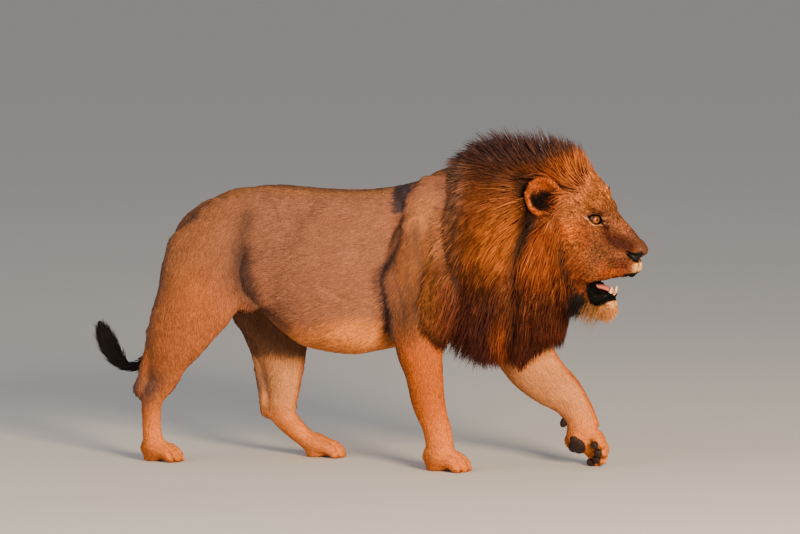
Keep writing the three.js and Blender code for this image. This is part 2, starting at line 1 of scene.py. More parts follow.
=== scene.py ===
import bpy
import numpy as np
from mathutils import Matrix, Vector


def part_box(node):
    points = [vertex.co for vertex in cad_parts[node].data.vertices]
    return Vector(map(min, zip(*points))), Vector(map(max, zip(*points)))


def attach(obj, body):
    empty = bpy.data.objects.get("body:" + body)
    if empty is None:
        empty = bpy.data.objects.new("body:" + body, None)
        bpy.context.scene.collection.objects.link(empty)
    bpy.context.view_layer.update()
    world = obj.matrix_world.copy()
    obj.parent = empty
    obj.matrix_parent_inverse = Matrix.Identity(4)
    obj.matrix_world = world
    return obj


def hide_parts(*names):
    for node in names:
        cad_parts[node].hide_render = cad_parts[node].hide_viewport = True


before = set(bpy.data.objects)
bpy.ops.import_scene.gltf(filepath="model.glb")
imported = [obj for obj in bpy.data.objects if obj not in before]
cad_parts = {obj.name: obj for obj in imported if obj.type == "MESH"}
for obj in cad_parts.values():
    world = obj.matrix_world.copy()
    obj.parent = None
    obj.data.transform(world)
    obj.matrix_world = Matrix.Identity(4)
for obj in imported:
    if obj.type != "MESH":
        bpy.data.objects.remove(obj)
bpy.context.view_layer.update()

mm = 0.001
# The lion is shaped in millimetres in its own walking frame (+X forward, +Y its left, floor at 0),
# then moved by `shift` onto the CAD, which is centred on its box.
headAt = np.array([711.0, -70.0, 862.0])  # the point between the eyes
headPitch, headYaw = -8, -10
eyeRadius, eyeSide = 19.0, 52.0


def turn(pitch=0, yaw=0, roll=0):
    # roll about X, then pitch (nose up), then yaw (to the left), in degrees
    a, b, c = np.radians([pitch, yaw, roll])
    ry = np.array([[np.cos(a), 0, -np.sin(a)], [0, 1, 0], [np.sin(a), 0, np.cos(a)]])
    rz = np.array([[np.cos(b), -np.sin(b), 0], [np.sin(b), np.cos(b), 0], [0, 0, 1]])
    rx = np.array([[1, 0, 0], [0, np.cos(c), -np.sin(c)], [0, np.sin(c), np.cos(c)]])
    return rz @ ry @ rx


def norm(v):
    # the length of each row
    return np.linalg.norm(v, axis=1)


headTurn = turn(headPitch, headYaw)
eyeBox = np.array([list(v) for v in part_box("eye_right")])
shift = eyeBox.mean(0) - (headAt + headTurn @ np.array([0, -eyeSide, 0])) * mm


def toHead(p):
    # in the head's own frame, from the point between the eyes
    return (p - headAt) @ headTurn


def fromHead(q):
    # and back to the walking frame
    return np.asarray(q, float) @ headTurn.T + headAt


def mirrored(q):
    # both sides of the head on its left side
    m = q.copy()
    m[:, 1] = np.abs(m[:, 1])
    return m


earAt, earTurn, earHalf = np.array([-170, 108, 50.0]), turn(10, 62, -14), (60, 66)


def toEar(m):
    # in the ear's own frame, and how far out from its middle (1 at its edge)
    r = (m - earAt) @ earTurn
    return r, np.hypot(r[:, 1] / earHalf[0], r[:, 2] / earHalf[1])


# camera
view = dict(azimuth=15, elevation=5, distance=16.0, aim=(0, 0, 0.675), pixel=0.0034)


def makeCamera():
    # looks at the aim from its azimuth (forward of the right side) and elevation
    a, e = np.radians([view["azimuth"], view["elevation"]])
    away = Vector((np.sin(a) * np.cos(e), -np.cos(a) * np.cos(e), np.sin(e)))
    data = bpy.data.cameras.new("camera")
    data.sensor_width = 36
    data.lens = 36 * view["distance"] / (800 * view["pixel"])  # 800 pixels of 3.4 mm at the lion
    data.clip_start, data.clip_end = 0.5, 400
    camera = bpy.data.objects.new("camera", data)
    camera.location = Vector(view["aim"]) + Vector(shift) + away * view["distance"]
    camera.rotation_euler = (-away).to_track_quat("-Z", "Y").to_euler()
    bpy.context.collection.objects.link(camera)
    bpy.context.scene.camera = camera


makeCamera()
print("camera set")


# masses: each gives a rough distance in mm, negative inside
near = 120.0  # beyond this a mass only gives a rough distance


def blend(a, b, k):
    # the smaller of the two, rounded over k where they meet
    h = np.maximum(k - np.abs(a - b), 0.0) / k
    return np.minimum(a, b) - h * h * k * 0.25


def carve(a, b, k):
    # a with b cut out of it, the edge rounded over k
    return -blend(-a, b, k)


def ellipse(n, w, d, rn, rw, rd):
    # k0 (k0 - 1) / k1: k0 is the place over the half sizes, k1 the place over their squares
    k0 = np.sqrt((n / rn) ** 2 + (w / rw) ** 2 + (d / rd) ** 2)
    k1 = np.sqrt((n / rn**2) ** 2 + (w / rw**2) ** 2 + (d / rd**2) ** 2)
    small = -np.minimum(np.minimum(rn, rw), rd) + 0 * k0
    return np.where(k1 < 1e-9, small, k0 * (k0 - 1.0) / np.maximum(k1, 1e-9))


def ball(p, at, size, pitch=0, yaw=0, roll=0):
    # an ellipsoid with these half sizes, turned
    q = p - np.array(at, float)
    f = norm(q) - max(size)
    m = f < near
    q = q[m] @ turn(pitch, yaw, roll)
    f[m] = ellipse(q[:, 0], q[:, 1], q[:, 2], *size)
    return f


def between(x, xs, ys):
    # smooth curve through a table
    slope = np.gradient(ys, xs)
    i = np.clip(np.searchsorted(xs, x) - 1, 0, len(xs) - 2)
    h = xs[i + 1] - xs[i]
    t = np.clip((x - xs[i]) / h, 0, 1)
    return ((2 * t**3 - 3 * t**2 + 1) * ys[i] + (t**3 - 2 * t**2 + t) * h * slope[i]
            + (-2 * t**3 + 3 * t**2) * ys[i + 1] + (t**3 - t**2) * h * slope[i + 1])


def rounded(out, over, lip):
    # past the end of an axis the surface closes over with this radius
    far = np.hypot(np.maximum(out + lip, 0), over) - lip + np.minimum(out + lip, 0)
    return np.where(over > 0, far, out)


def loft(p, rows, axis="z", lean=0.0, start=(0, 0), power=2.1, lip=30.0):
    # superellipse sections along a straight axis: place, two middles, two half sizes
    t = np.array(rows, float)
    t = t[np.argsort(t[:, 0])]
    if axis == "z":
        s, a, b = p[:, 2], p[:, 0], p[:, 1]
    elif axis == "x":
        s, a, b = p.T
    else:
        c, d = np.cos(np.radians(lean)), np.sin(np.radians(lean))
        x, z = p[:, 0] - start[0], p[:, 2] - start[1]
        s, a, b = x * c - z * d, x * d + z * c, p[:, 1]
    sc = np.clip(s, t[0, 0], t[-1, 0])
    ca, cb, ra, rb = (between(sc, t[:, 0], t[:, i]) for i in (1, 2, 3, 4))
    q = (np.abs((a - ca) / ra) ** power + np.abs((b - cb) / rb) ** power) ** (1 / power)
    k0 = np.hypot((a - ca) / ra, (b - cb) / rb)
    k1 = np.hypot((a - ca) / ra**2, (b - cb) / rb**2)
    small, large = np.minimum(ra, rb), np.maximum(ra, rb)
    scale = np.where(k1 > 1e-6, k0 / np.maximum(k1, 1e-6), small)
    return rounded((q - 1) * np.clip(scale, small, large), np.abs(s - sc), lip)


def bentLine(rows, steps):
    # Catmull-Rom curve through the rows
    r = np.array(rows, float)
    r = np.vstack([2 * r[0] - r[1], r, 2 * r[-1] - r[-2]])
    r[0, 3:], r[-1, 3:] = r[1, 3:], r[-2, 3:]
    t = (np.arange(steps) / steps)[:, None]
    out = []
    for a, b, c, d in zip(r[:-3], r[1:-2], r[2:-1], r[3:]):
        curve = 2 * b + (c - a) * t + (2 * a - 5 * b + 4 * c - d) * t**2 + (3 * b - a - 3 * c + d) * t**3
        out.append(0.5 * curve)
    return np.vstack(out + [r[-2:-1]])


def cord(p, rows, steps=4):
    # elliptic sections along a bent line: x, y, z, half size in the bend's plane, half width
    s = bentLine(rows, steps)
    d = np.gradient(s[:, :3], axis=0)
    d /= norm(d)[:, None]
    w = np.array([0, 1.0, 0]) - d * d[:, 1:2]
    w /= norm(w)[:, None]
    n = np.cross(d, w)
    mid = s[:, :3].mean(0)
    f = norm(p - mid) - norm(s[:, :3] - mid).max() - s[:, 3:].max()
    m = f < near
    q = p[m]
    best, seg, at = np.full(len(q), 1e9), np.zeros(len(q), int), np.zeros(len(q))
    for i in range(len(s) - 1):
        ab = s[i + 1, :3] - s[i, :3]
        t = np.clip((q - s[i, :3]) @ ab / (ab @ ab), 0, 1)
        gap = norm(q - s[i, :3] - t[:, None] * ab)
        gap -= s[i, 3:].mean() * (1 - t) + s[i + 1, 3:].mean() * t
        closer = gap < best
        best[closer], seg[closer], at[closer] = gap[closer], i, t[closer]
    mix = lambda v: v[seg] * (1 - at)[:, None] + v[seg + 1] * at[:, None]
    sec = mix(s)
    rel = q - sec[:, :3]
    rn, rw = sec[:, 3], sec[:, 4]
    along = [(rel * mix(v)).sum(1) for v in (n, w, d)]
    f[m] = ellipse(*along, rn, rw, np.minimum(rn, rw))
    return f


# the lion's sizes
trunkRows = np.array([  # along X: place, back line, belly line, half width
    [-740, 780, 690, 50], [-700, 835, 640, 85], [-650, 883, 610, 105], [-580, 930, 580, 120],
    [-500, 951, 525, 135], [-420, 957, 452, 158], [-340, 952, 398, 180], [-250, 946, 376, 194],
    [-150, 945, 371, 196], [-50, 954, 388, 186], [40, 973, 408, 170], [90, 990, 420, 160],
    [160, 1020, 430, 146], [250, 1040, 470, 130], [340, 990, 540, 110]], float)
neckRows = [[180, 0, 780, 145, 200], [300, -4, 810, 138, 180], [420, -18, 840, 126, 158],
            [520, -34, 860, 114, 138], [600, -48, 868, 104, 120]]
maneRows = [[375, 430, -10, 60, 48], [430, 430, -10, 115, 95], [490, 420, -10, 165, 150],
            [560, 405, -11, 200, 198], [650, 395, -12, 222, 236], [740, 385, -13, 230, 244],
            [820, 372, -14, 215, 228], [900, 352, -14, 190, 196], [980, 336, -13, 168, 142],
            [1050, 330, -12, 140, 86], [1095, 325, -10, 95, 45]]
crestRows = [[190, 0, 974, 40, 50], [290, -4, 992, 62, 84], [400, -12, 1030, 78, 90],
             [520, -34, 1028, 84, 88], [620, -50, 996, 84, 92], [690, -60, 965, 68, 84],
             [732, -66, 948, 42, 58]]
foreRight = dict(
    rows=[[965, 146, -62, 62, 22], [925, 150, -82, 94, 35], [850, 170, -108, 112, 46],
          [760, 196, -135, 120, 52], [680, 203, -150, 117, 57], [600, 176, -160, 106, 59],
          [520, 135, -161, 99, 58], [460, 112, -157, 92, 58], [404, 109, -151, 83, 56],
          [316, 123, -143, 68, 50], [211, 140, -135, 60, 45], [130, 166, -130, 52, 47],
          [88, 172, -129, 50, 50], [50, 174, -129, 48, 51]],
    lumps=[((56, -158, 670), (66, 42, 200), -9, 44), ((34, -166, 482), (26, 24, 45), 12, 18)],
    paw=dict(at=(196, -130, -4), pitch=0, yaw=-4, roll=0, scale=1.0))
foreLeft = dict(lean=60, start=(120, 975),  # reaching forward
    rows=[[25, 4, 62, 36, 22], [80, 10, 82, 62, 35], [170, 20, 108, 92, 46], [270, 18, 135, 104, 52],
          [360, 2, 150, 110, 57], [450, -28, 160, 110, 59], [560, -52, 161, 108, 58],
          [660, -58, 153, 102, 57], [743, -47, 144, 94, 53], [830, -14, 134, 82, 48],
          [887, 8, 127, 64, 46], [930, 14, 122, 57, 46], [975, 10, 118, 56, 48]],
    lumps=[((225, 158, 640), (66, 42, 200), 14, 44), ((298, 162, 410), (26, 24, 45), -30, 18)],
    paw=dict(at=(618, 77, 58), pitch=-24, yaw=-4, roll=-50, scale=1.05))
hindRight = dict(
    rows=[[840, -605, -72, 85, 38], [790, -636, -94, 130, 58], [700, -664, -126, 138, 70],
          [590, -676, -142, 144, 72], [495, -700, -150, 145, 69], [430, -733, -150, 120, 60],
          [377, -755, -145, 93, 53], [321, -784, -137, 66, 45], [286, -797, -131, 56, 41],
          [250, -822, -126, 55, 38], [205, -846, -123, 42, 34], [150, -849, -124, 36, 34],
          [95, -846, -127, 36, 38], [50, -840, -129, 38, 42]],
    lumps=[((-592, -72, 795), (145, 66, 98), 26, 30), ((-888, -122, 243), (24, 21, 34), 10, 22),
           ((-860, -133, 325), (26, 15, 80), -16, 26), ((-497, -114, 602), (88, 30, 78), 15, 44)],
    cords=[[[-835, -146, 450, 22, 20], [-858, -137, 370, 15, 14], [-880, -128, 295, 14, 13],
            [-892, -123, 250, 18, 18]]],
    paw=dict(at=(-812, -131, -3), pitch=0, yaw=-3, roll=0, scale=0.9))
hindLeft = dict(
    rows=[[840, -605, 72, 85, 38], [790, -628, 94, 132, 58], [700, -605, 126, 140, 70],
          [590, -555, 145, 145, 73], [500, -522, 153, 137, 71], [460, -507, 154, 130, 69],
          [404, -482, 152, 110, 63], [324, -463, 145, 86, 53], [262, -455, 137, 69, 45],
          [215, -451, 129, 58, 40], [180, -452, 123, 52, 37]],
    lumps=[((-592, 72, 795), (145, 66, 98), 26, 30), ((-510, 118, 160), (22, 21, 27), -20, 20),
           ((-524, 130, 240), (20, 15, 75), 16, 26)],
    cords=[[[-585, 152, 430, 22, 20], [-553, 140, 330, 15, 14], [-531, 128, 245, 14, 13],
            [-517, 120, 170, 18, 18]],
           [[-470, 120, 165, 50, 37], [-440, 118, 130, 46, 36], [-405, 118, 93, 40, 35],
            [-370, 120, 64, 36, 38], [-345, 121, 52, 34, 42]]],
    paw=dict(at=(-305, 122, -4), pitch=0, yaw=3, roll=0, scale=0.9))
legs = [foreRight, foreLeft, hindRight, hindLeft]
toeRow = [[-47, 26, 20.5], [-16.5, 42, 22.5], [17.5, 41, 22.5], [47, 24, 20.5]]  # across, ahead, half width
tailRows = [[-680, 0, 845, 34, 34], [-730, 0, 820, 34, 34], [-768, 0, 778, 31, 30],
            [-796, 0, 710, 27, 26], [-818, 0, 635, 24, 23], [-842, 0, 540, 21, 21],
            [-866, 0, 440, 20, 19], [-888, 0, 360, 19, 18], [-925, 0, 312, 18, 17],
            [-975, 0, 308, 18, 18]]
tuftRows = [[-962, 0, 305, 18, 18], [-1000, 0, 322, 27, 24], [-1035, 0, 365, 36, 31],
            [-1060, 0, 415, 32, 28], [-1078, 0, 460, 12, 12]]


def trunkField(p):
    # superellipses across X, as high as from the belly line to the back line
    x, y, z = p.T
    xc = np.clip(x, trunkRows[0, 0], trunkRows[-1, 0])
    top, bottom, half = (between(xc, trunkRows[:, 0], trunkRows[:, i]) for i in (1, 2, 3))
    mid, tall = (top + bottom) / 2, (top - bottom) / 2
    v = (z - mid) / tall
    vc = np.clip(v, -1, 1)
    wide = half * (1 - 0.1 * vc - 0.05 * vc * vc)  # narrower over the back than at the belly
    q = (np.abs(y / wide) ** 2.2 + np.abs(v) ** 2.2) ** (1 / 2.2)
    f = rounded(np.maximum(q - 1, -1) * np.minimum(wide, tall) * 0.9, np.abs(x - xc), 50.0)
    return blend(f, ball(p, (-610, 0, 812), (140, 98, 97), 24), 40)  # rump


def pawField(p, paw):
    # two balls for the back of the paw and a short bent line for each toe
    s = paw["scale"]
    q = (p - np.array(paw["at"])) @ turn(paw["pitch"], paw["yaw"], paw["roll"]) / s
    f = blend(ball(q, (-18, 0, 48), (66, 56, 44), -12), ball(q, (-40, 0, 20), (34, 40, 24)), 20)
    for across, ahead, half in toeRow:
        toe = cord(q, [[ahead - 45, across * 0.8, 52, 26, half * 0.95],
                       [ahead - 10, across * 0.95, 47, 27, half],
                       [ahead + 14, across, 32, 25, half],
                       [ahead + 24, across * 1.02, 20, 20, half * 0.88]], 2)
        f = blend(f, toe, 10)
    return f * s


def legField(p, leg):
    # sections along the leg, with its muscles, tendons and paw blended on
    f = loft(p, leg["rows"], "lean" if "lean" in leg else "z", leg.get("lean", 0), leg.get("start", (0, 0)))
    for at, size, pitch, soft in leg["lumps"]:
        f = blend(f, ball(p, at, size, pitch), soft)
    for rows in leg.get("cords", []):
        f = blend(f, cord(p, rows), 22)
    return blend(f, pawField(p, leg["paw"]), 22)


bridgeRows = [[-45, 0, 54, 62, 62], [20, 0, 15, 47, 52], [75, 0, -27, 38, 44], [125, 0, -58, 31, 38],
              [150, 0, -76, 28, 34]]
coreRows = [[-130, 0, -60, 70, 70], [-60, 0, -80, 62, 90], [20, 0, -95, 46, 76], [90, 0, -98, 34, 54],
            [138, 0, -100, 22, 34]]
jawRows = [[-120, 66, -150, 34, 62], [-60, 62, -200, 30, 50], [0, 50, -244, 24, 36],
           [40, 33, -266, 22, 30], [70, 16, -274, 20, 26]]
lowerLipRows = [[10, 62, -228, 14, 7], [30, 60, -262, 24, 7], [56, 48, -258, 18, 7],
                [80, 30, -246, 12, 7], [94, 0, -244, 9, 8]]
headBalls = [  # in the head's frame: middle, half sizes, pitch, yaw, rounding where it joins
    ((3, 50, 41), (42, 25, 24), -38, -12, 24),  # brow
    ((-62, 80, -42), (82, 40, 50), -12, -16, 35),  # cheekbone
    ((-80, 78, -125), (85, 48, 90), 0, 0, 50),  # jaw muscle
    ((45, 36, -80), (80, 38, 60), -14, 0, 30),  # upper jaw
    ((50, 48, -150), (70, 28, 50), 10, 10, 35),  # upper lips
    ((-10, 64, -175), (60, 30, 46), 25, 8, 40),  # behind the mouth
    ((112, 33, -139), (52, 32, 42), -4, -10, 14),  # whisker pads
    ((140, 0, -131), (24, 27, 50), 0, 0, 10),  # under the nose
    ((158, 0, -79), (30, 32, 27), -32, 0, 10),  # nose
    ((143, 19, -84), (28, 15, 20), -24, 0, 10)]  # its wings
jawBalls = [
    ((64, 0, -286), (34, 35, 34), 10, 0, 20),  # chin
    ((-40, 0, -225), (100, 45, 45), -16, 0, 30)]  # throat


def headField(q):
    # the braincase, two lofts and the balls of the table, the same on both sides
    m = mirrored(q)
    f = ball(m, (-105, 0, 16), (135, 98, 94), -4)  # braincase
    f = blend(f, loft(m, bridgeRows, "x", lip=20), 30)
    f = blend(f, loft(m, coreRows, "x", lip=20), 6)
    for at, size, pitch, yaw, soft in headBalls:
        f = blend(f, ball(m, at, size, pitch, yaw), soft)
    return carve(f, ball(m, (22, 71, 2), (26, 12, 13), -30, -30), 22)  # hollow before the eye


def jawField(q):
    # a loft along the jaw's edge, then chin, throat and the hanging lip
    m = mirrored(q)
    f = loft(m, jawRows, "x", lip=20)
    for at, size, pitch, yaw, soft in jawBalls:
        f = blend(f, ball(m, at, size, pitch, yaw), soft)
    return blend(f, cord(m, lowerLipRows), 10)


def earField(q):
    # a flat ball with a smaller one cut out of its front
    m = mirrored(q)
    r, _ = toEar(m)
    return carve(ball(r, (-6, 0, 0), (40, *earHalf)), ball(r, (36, 4, 0), (62, 49, 54)), 12)


def maneField(p):
    # upright sections of neck and chest with the crest along the top, less the valley
    f = blend(loft(p, maneRows, lip=30), loft(p, crestRows, "x", lip=20), 40)
    return f + 26 * maneValley(p)


def rise(x, low, high):
    # 0 below low, 1 above high, smooth between
    t = np.clip((x - low) / (high - low), 0, 1)
    return t * t * (3 - 2 * t)


def fall(x, low, high):
    # 1 below low, 0 above high
    return 1 - rise(x, low, high)


def nearLine(p, line, wide):
    # 1 on a line drawn in side view, falling off over `wide`
    best = np.full(len(p), 1e9)
    pts = np.array(line, float)
    q = p[:, [0, 2]]
    for a, b in zip(pts[:-1], pts[1:]):
        t = np.clip((q - a) @ (b - a) / ((b - a) @ (b - a)), 0, 1)
        best = np.minimum(best, norm(q - a - t[:, None] * (b - a)))
    return np.exp(-(best / wide) ** 2)


def maneRear(z):
    # how far back the mane comes at each height
    return np.interp(z, [480, 600, 720, 840, 900, 930, 1040], [118, 142, 160, 190, 208, 226, 236])


def maneValley(p):
    # the parting between the cheek's ruff and the neck's mane
    line = [[515, 930], [492, 850], [450, 726], [441, 560], [425, 450]]
    return nearLine(p, line, 24) * (np.abs(p[:, 1]) > 60)


def partFields(p):
    # the rough distance to each part
    q = toHead(p)
    return dict(trunk=blend(trunkField(p), loft(p, neckRows, "x", lip=60), 60),
                foreRight=legField(p, foreRight), foreLeft=legField(p, foreLeft),
                hindRight=legField(p, hindRight), hindLeft=legField(p, hindLeft),
                tail=cord(p, tailRows), head=headField(q), jaw=jawField(q), ear=earField(q))


joinWidth = dict(foreRight=22, foreLeft=22, hindRight=40, hindLeft=40, tail=44, head=50, jaw=8, ear=12)


def envelope(p):
    # the outline of the coat
    parts = partFields(p)
    f = parts["trunk"]
    for name, k in joinWidth.items():
        f = blend(f, parts[name], k)
    return blend(f, maneField(p), 16)


# the skin's own shape: inside the coat, with lids, nostrils, mouth and folds
face = dict(gaze=35, lid=2.4, openHalf=(22.5, 12.0), openTilt=-12)
coatDepth = dict(body=6.0, head=3.0, mane=40.0)
armFold = [[21, 945], [36, 896], [55, 824], [51, 785], [26, 733], [-9, 683], [-19, 641], [-8, 597],
           [1, 557], [3, 523], [10, 480]]
armFoldLeft = [[105, 900], [132, 800], [152, 700], [168, 600], [225, 490]]
flankFold = [[-514, 739], [-532, 661], [-514, 593], [-444, 525], [-374, 467]]
flankFoldLeft = [[-470, 735], [-440, 660], [-405, 580], [-380, 520]]
creases = [  # drawn in side view: line, width, depth, side (-1 right, 1 left, 0 both)
    (armFold[1:], 10, 4.0, -1),
    ([[38, 711], [41, 651], [60, 575], [70, 530]], 9, 2.0, -1),
    ([[105, 830], [118, 740], [130, 680]], 14, 2.2, -1),
    (armFoldLeft, 12, 3.0, 1),
    ([[-214, 612], [-124, 573], [-50, 545]], 9, 2.5, 0),
    ([[-306, 905], [-266, 843], [-231, 776]], 16, 1.0, 0),
    ([[-366, 890], [-326, 820], [-291, 750]], 16, 0.8, 0),
    (flankFold, 14, 6.0, -1),
    (flankFoldLeft, 16, 5.0, 1)]


def eyeFrame(q):
    # along the gaze, across the lids (towards the nose) and up, from the eyeball's centre
    g = np.radians(face["gaze"])
    hand = np.where(q[:, 1] > 0, 1, -1)
    r = q.copy()
    r[:, 1] -= hand * eyeSide
    s = r[:, 0] * np.cos(g) + hand * r[:, 1] * np.sin(g)
    t = r[:, 0] * np.sin(g) - hand * r[:, 1] * np.cos(g)
    tilt = np.radians(face["openTilt"])
    return s, t * np.cos(tilt) + r[:, 2] * np.sin(tilt), r[:, 2] * np.cos(tilt) - t * np.sin(tilt)


def lidGap(t, u):
    # how far a point across (t) and up (u) is outside the almond between the lids
    a, h = face["openHalf"]
    arch = np.clip(1 - (t / a) ** 2, 0, 1)
    inner = np.clip((t - 8) / 18, 0, 1)
    return np.maximum(np.abs(u + 3.0 * inner) - h * arch**0.8, np.abs(t) - a)


def skinField(p):
    # the parts drawn in by the depth of their hair, with mouth, nostrils and lids cut in
    parts = partFields(p)
    q = toHead(p)
    m = mirrored(q)
    f = parts["trunk"]
    for name, k in joinWidth.items():
        if name not in ("head", "jaw", "ear"):
            f = blend(f, parts[name], k)
    f = f + coatDepth["body"]
    core = carve(maneField(p) + coatDepth["mane"], 1045 - p[:, 2], 60)
    f = blend(f, core, 20)
    for name in ("head", "jaw", "ear"):
        f = blend(f, parts[name] + coatDepth["head"], joinWidth[name])
    close = (q[:, 0] > -70) & (np.abs(q[:, 1]) < 110) & (q[:, 2] > -340) & (q[:, 2] < 130)
    if close.any():
        g, c = f[close], m[close]
        for at, size, pitch in (((70, 0, -207), (62, 34, 22), -14), ((56, 0, -229), (50, 28, 18), -12)):
            g = carve(g, ball(c, at, size, pitch), 6)  # mouth
        nostril = cord(c, [[176, 13, -99, 9, 9], [162, 20, -102, 9, 8], [146, 28, -100, 6, 6],
                           [122, 32, -92, 3, 4]])
        g = carve(g, nostril, 4)
        fromEye = norm(c - np.array([0, eyeSide, 0])) - eyeRadius
        lidPlace = blend(g, fromEye - face["lid"], 6)
        s, t, u = eyeFrame(q[close])
        gap = np.maximum(lidGap(t, u), 5 - s)
        g = carve(lidPlace, gap, 2)
        f[close] = g
    return f - relief(p, q, m)


def relief(p, q, m):
    # low folds and ridges, in mm outwards
    out = np.zeros(len(p))
    for line, wide, deep, side in creases:
        body = (p[:, 0] < 260) & (np.abs(p[:, 1]) > 60) & (p[:, 1] * side >= 0)
        out[body] -= deep * nearLine(p[body], line, wide)
    face3 = q[:, 0] > -60
    c = m[face3]
    x, y, z = c.T
    add = -2.6 * np.exp(-(y / 2.6) ** 2) * rise(x, 132, 142) * rise(-z, 84, 96)  # cleft under the nose
    add += -1.6 * np.exp(-(y / 8) ** 2) * rise(x, -60, -30) * rise(-x, -10, 20)  # furrow of the brow
    wrinkled = np.exp(-((x - 108) / 20) ** 2 - ((z + 62) / 16) ** 2) * (y > 15)
    add += 1.4 * np.sin((z + 0.3 * x) / 5.2) * wrinkled
    s, t, u = eyeFrame(q[face3])
    over = lidGap(t, u)
    add += 1.4 * np.exp(-((over - 3.0) / 2.2) ** 2) * (s > 0)  # rim of the lids
    add -= 1.6 * np.exp(-((over - 8.0) / 2.2) ** 2) * (s > 0) * (u > 0)  # fold of the upper lid
    add -= 1.3 * np.exp(-((over - 9.0) / 3.0) ** 2) * (s > 0) * (u < 0)
    out[face3] += add
    return out


def stops(*ranges):
    # grid places: each range is start, end, spacing
    out = [ranges[0][0]]
    for start, end, step in ranges:
        n = max(int(round((end - out[-1]) / step)), 1)
        out += list(out[-1] + (end - out[-1]) * np.arange(1, n + 1) / n)
    return np.array(out)


def gridSurface(field, xs, ys, zs, block=8):
    # surface nets: one point in each grid cell that the surface crosses,
    # one four-sided face round each grid edge that it crosses
    axes = [xs, ys, zs]
    pad = [np.concatenate([a, a[-1] + 10.0 * np.arange(1, (-(len(a) - 1)) % block + 1)]) for a in axes]
    size = [len(a) for a in pad]
    blocks = [(n - 1) // block for n in size]
    lows = [a[:-1:block] for a in pad]
    highs = [a[block::block] for a in pad]
    mesh3 = lambda rows: np.stack(np.meshgrid(*rows, indexing="ij"), -1).reshape(-1, 3)
    mids = mesh3([(a + b) / 2 for a, b in zip(lows, highs)])
    half = mesh3([(b - a) / 2 for a, b in zip(lows, highs)])
    value = field(mids)
    active = np.abs(value) < norm(half) * 1.25 + 8
    grid = np.repeat(np.repeat(np.repeat(value.reshape(blocks), block, 0), block, 1), block, 2)
    grid = np.pad(grid, ((0, 1), (0, 1), (0, 1)), mode="edge").astype(np.float32)
    wanted = np.zeros(size, bool)
    which = np.argwhere(active.reshape(blocks)) * block
    for i, j, k in which:
        wanted[i:i + block + 1, j:j + block + 1, k:k + block + 1] = True
    at = np.argwhere(wanted)
    p = np.stack([pad[0][at[:, 0]], pad[1][at[:, 1]], pad[2][at[:, 2]]], 1)
    grid[wanted] = np.concatenate([field(c) for c in np.array_split(p, max(len(p) // 200000, 1))])
    inside = grid < 0
    cells = tuple(n - 1 for n in size)
    total, count = np.zeros((np.prod(cells), 3)), np.zeros(np.prod(cells))
    faces = []
    for axis in range(3):
        a = [slice(None)] * 3
        b = [slice(None)] * 3
        a[axis], b[axis] = slice(0, -1), slice(1, None)
        crossed = np.argwhere(inside[tuple(a)] != inside[tuple(b)])
        other = crossed.copy()
        other[:, axis] += 1
        f0, f1 = grid[tuple(crossed.T)], grid[tuple(other.T)]
        t = (f0 / (f0 - f1))[:, None]
        p0 = np.stack([pad[i][crossed[:, i]] for i in range(3)], 1)
        p1 = np.stack([pad[i][other[:, i]] for i in range(3)], 1)
        point = p0 + (p1 - p0) * t
        u, v = (axis + 1) % 3, (axis + 2) % 3
        ring = []
        for du, dv in ((-1, -1), (0, -1), (0, 0), (-1, 0)):
            cell = crossed.copy()
            cell[:, u] += du
            cell[:, v] += dv
            flat = np.ravel_multi_index(tuple(cell.T), cells, mode="clip")
            for i in range(3):
                total[:, i] += np.bincount(flat, point[:, i], len(total))
            count += np.bincount(flat, minlength=len(total))
            ring.append(flat)
        ring = np.stack(ring, 1)
        turned = f0 > 0
        ring[turned] = ring[turned][:, ::-1]
        faces.append(ring)
    faces = np.concatenate(faces)
    used, index = np.unique(faces, return_inverse=True)
    return total[used] / count[used][:, None], index.reshape(-1, 4)


def slopeOf(field, p, h=0.6):
    # the value and its slope, by differences over h
    f = field(p)
    g = np.stack([field(p + h * d) - f for d in np.eye(3)], 1) / h
    return f, g


def settle(field, p, rounds=3, most=4.0):
    # moves points along the slope onto the surface
    for _ in range(rounds):
        f, g = slopeOf(field, p)
        step = (f / np.maximum((g * g).sum(1), 0.05))[:, None] * g
        length = norm(step)[:, None]
        p = p - step * np.minimum(1, most / np.maximum(length, 1e-9))
    return p


def refine(p, tri, wanted, field):
    # splits every edge longer than wanted at its middle and puts the new points on the surface
    edges = np.sort(np.stack([tri[:, [0, 1]], tri[:, [1, 2]], tri[:, [2, 0]]], 1).reshape(-1, 2), 1)
    unique, index = np.unique(edges, axis=0, return_inverse=True)
    a, b = p[unique[:, 0]], p[unique[:, 1]]
    split = norm(a - b) > wanted((a + b) / 2)
    number = np.full(len(unique), -1)
    number[split] = len(p) + np.arange(split.sum())
    p = np.vstack([p, settle(field, (a[split] + b[split]) / 2, 2)])
    mid = number[index.reshape(-1, 3)]
    marked = (mid >= 0).sum(1)
    out = [tri[marked == 0]]
    t, m = tri[marked == 3], mid[marked == 3]
    out += [np.stack(c, 1) for c in ((t[:, 0], m[:, 0], m[:, 2]), (m[:, 0], t[:, 1], m[:, 1]),
                                     (m[:, 2], m[:, 1], t[:, 2]), (m[:, 0], m[:, 1], m[:, 2]))]
    for corner in range(3):
        order = np.roll([0, 1, 2], -corner)
        one = (marked == 1) & (mid[:, corner] >= 0)
        t, m = tri[one][:, order], mid[one][:, corner]
        out += [np.stack(c, 1) for c in ((t[:, 0], m, t[:, 2]), (m, t[:, 1], t[:, 2]))]
        two = (marked == 2) & (mid[:, order[2]] < 0)
        t, m0, m1 = tri[two][:, order], mid[two][:, order[0]], mid[two][:, order[1]]
        out += [np.stack(c, 1) for c in ((t[:, 0], m0, m1), (m0, t[:, 1], m1), (t[:, 0], m1, t[:, 2]))]
    return p, np.vstack(out)


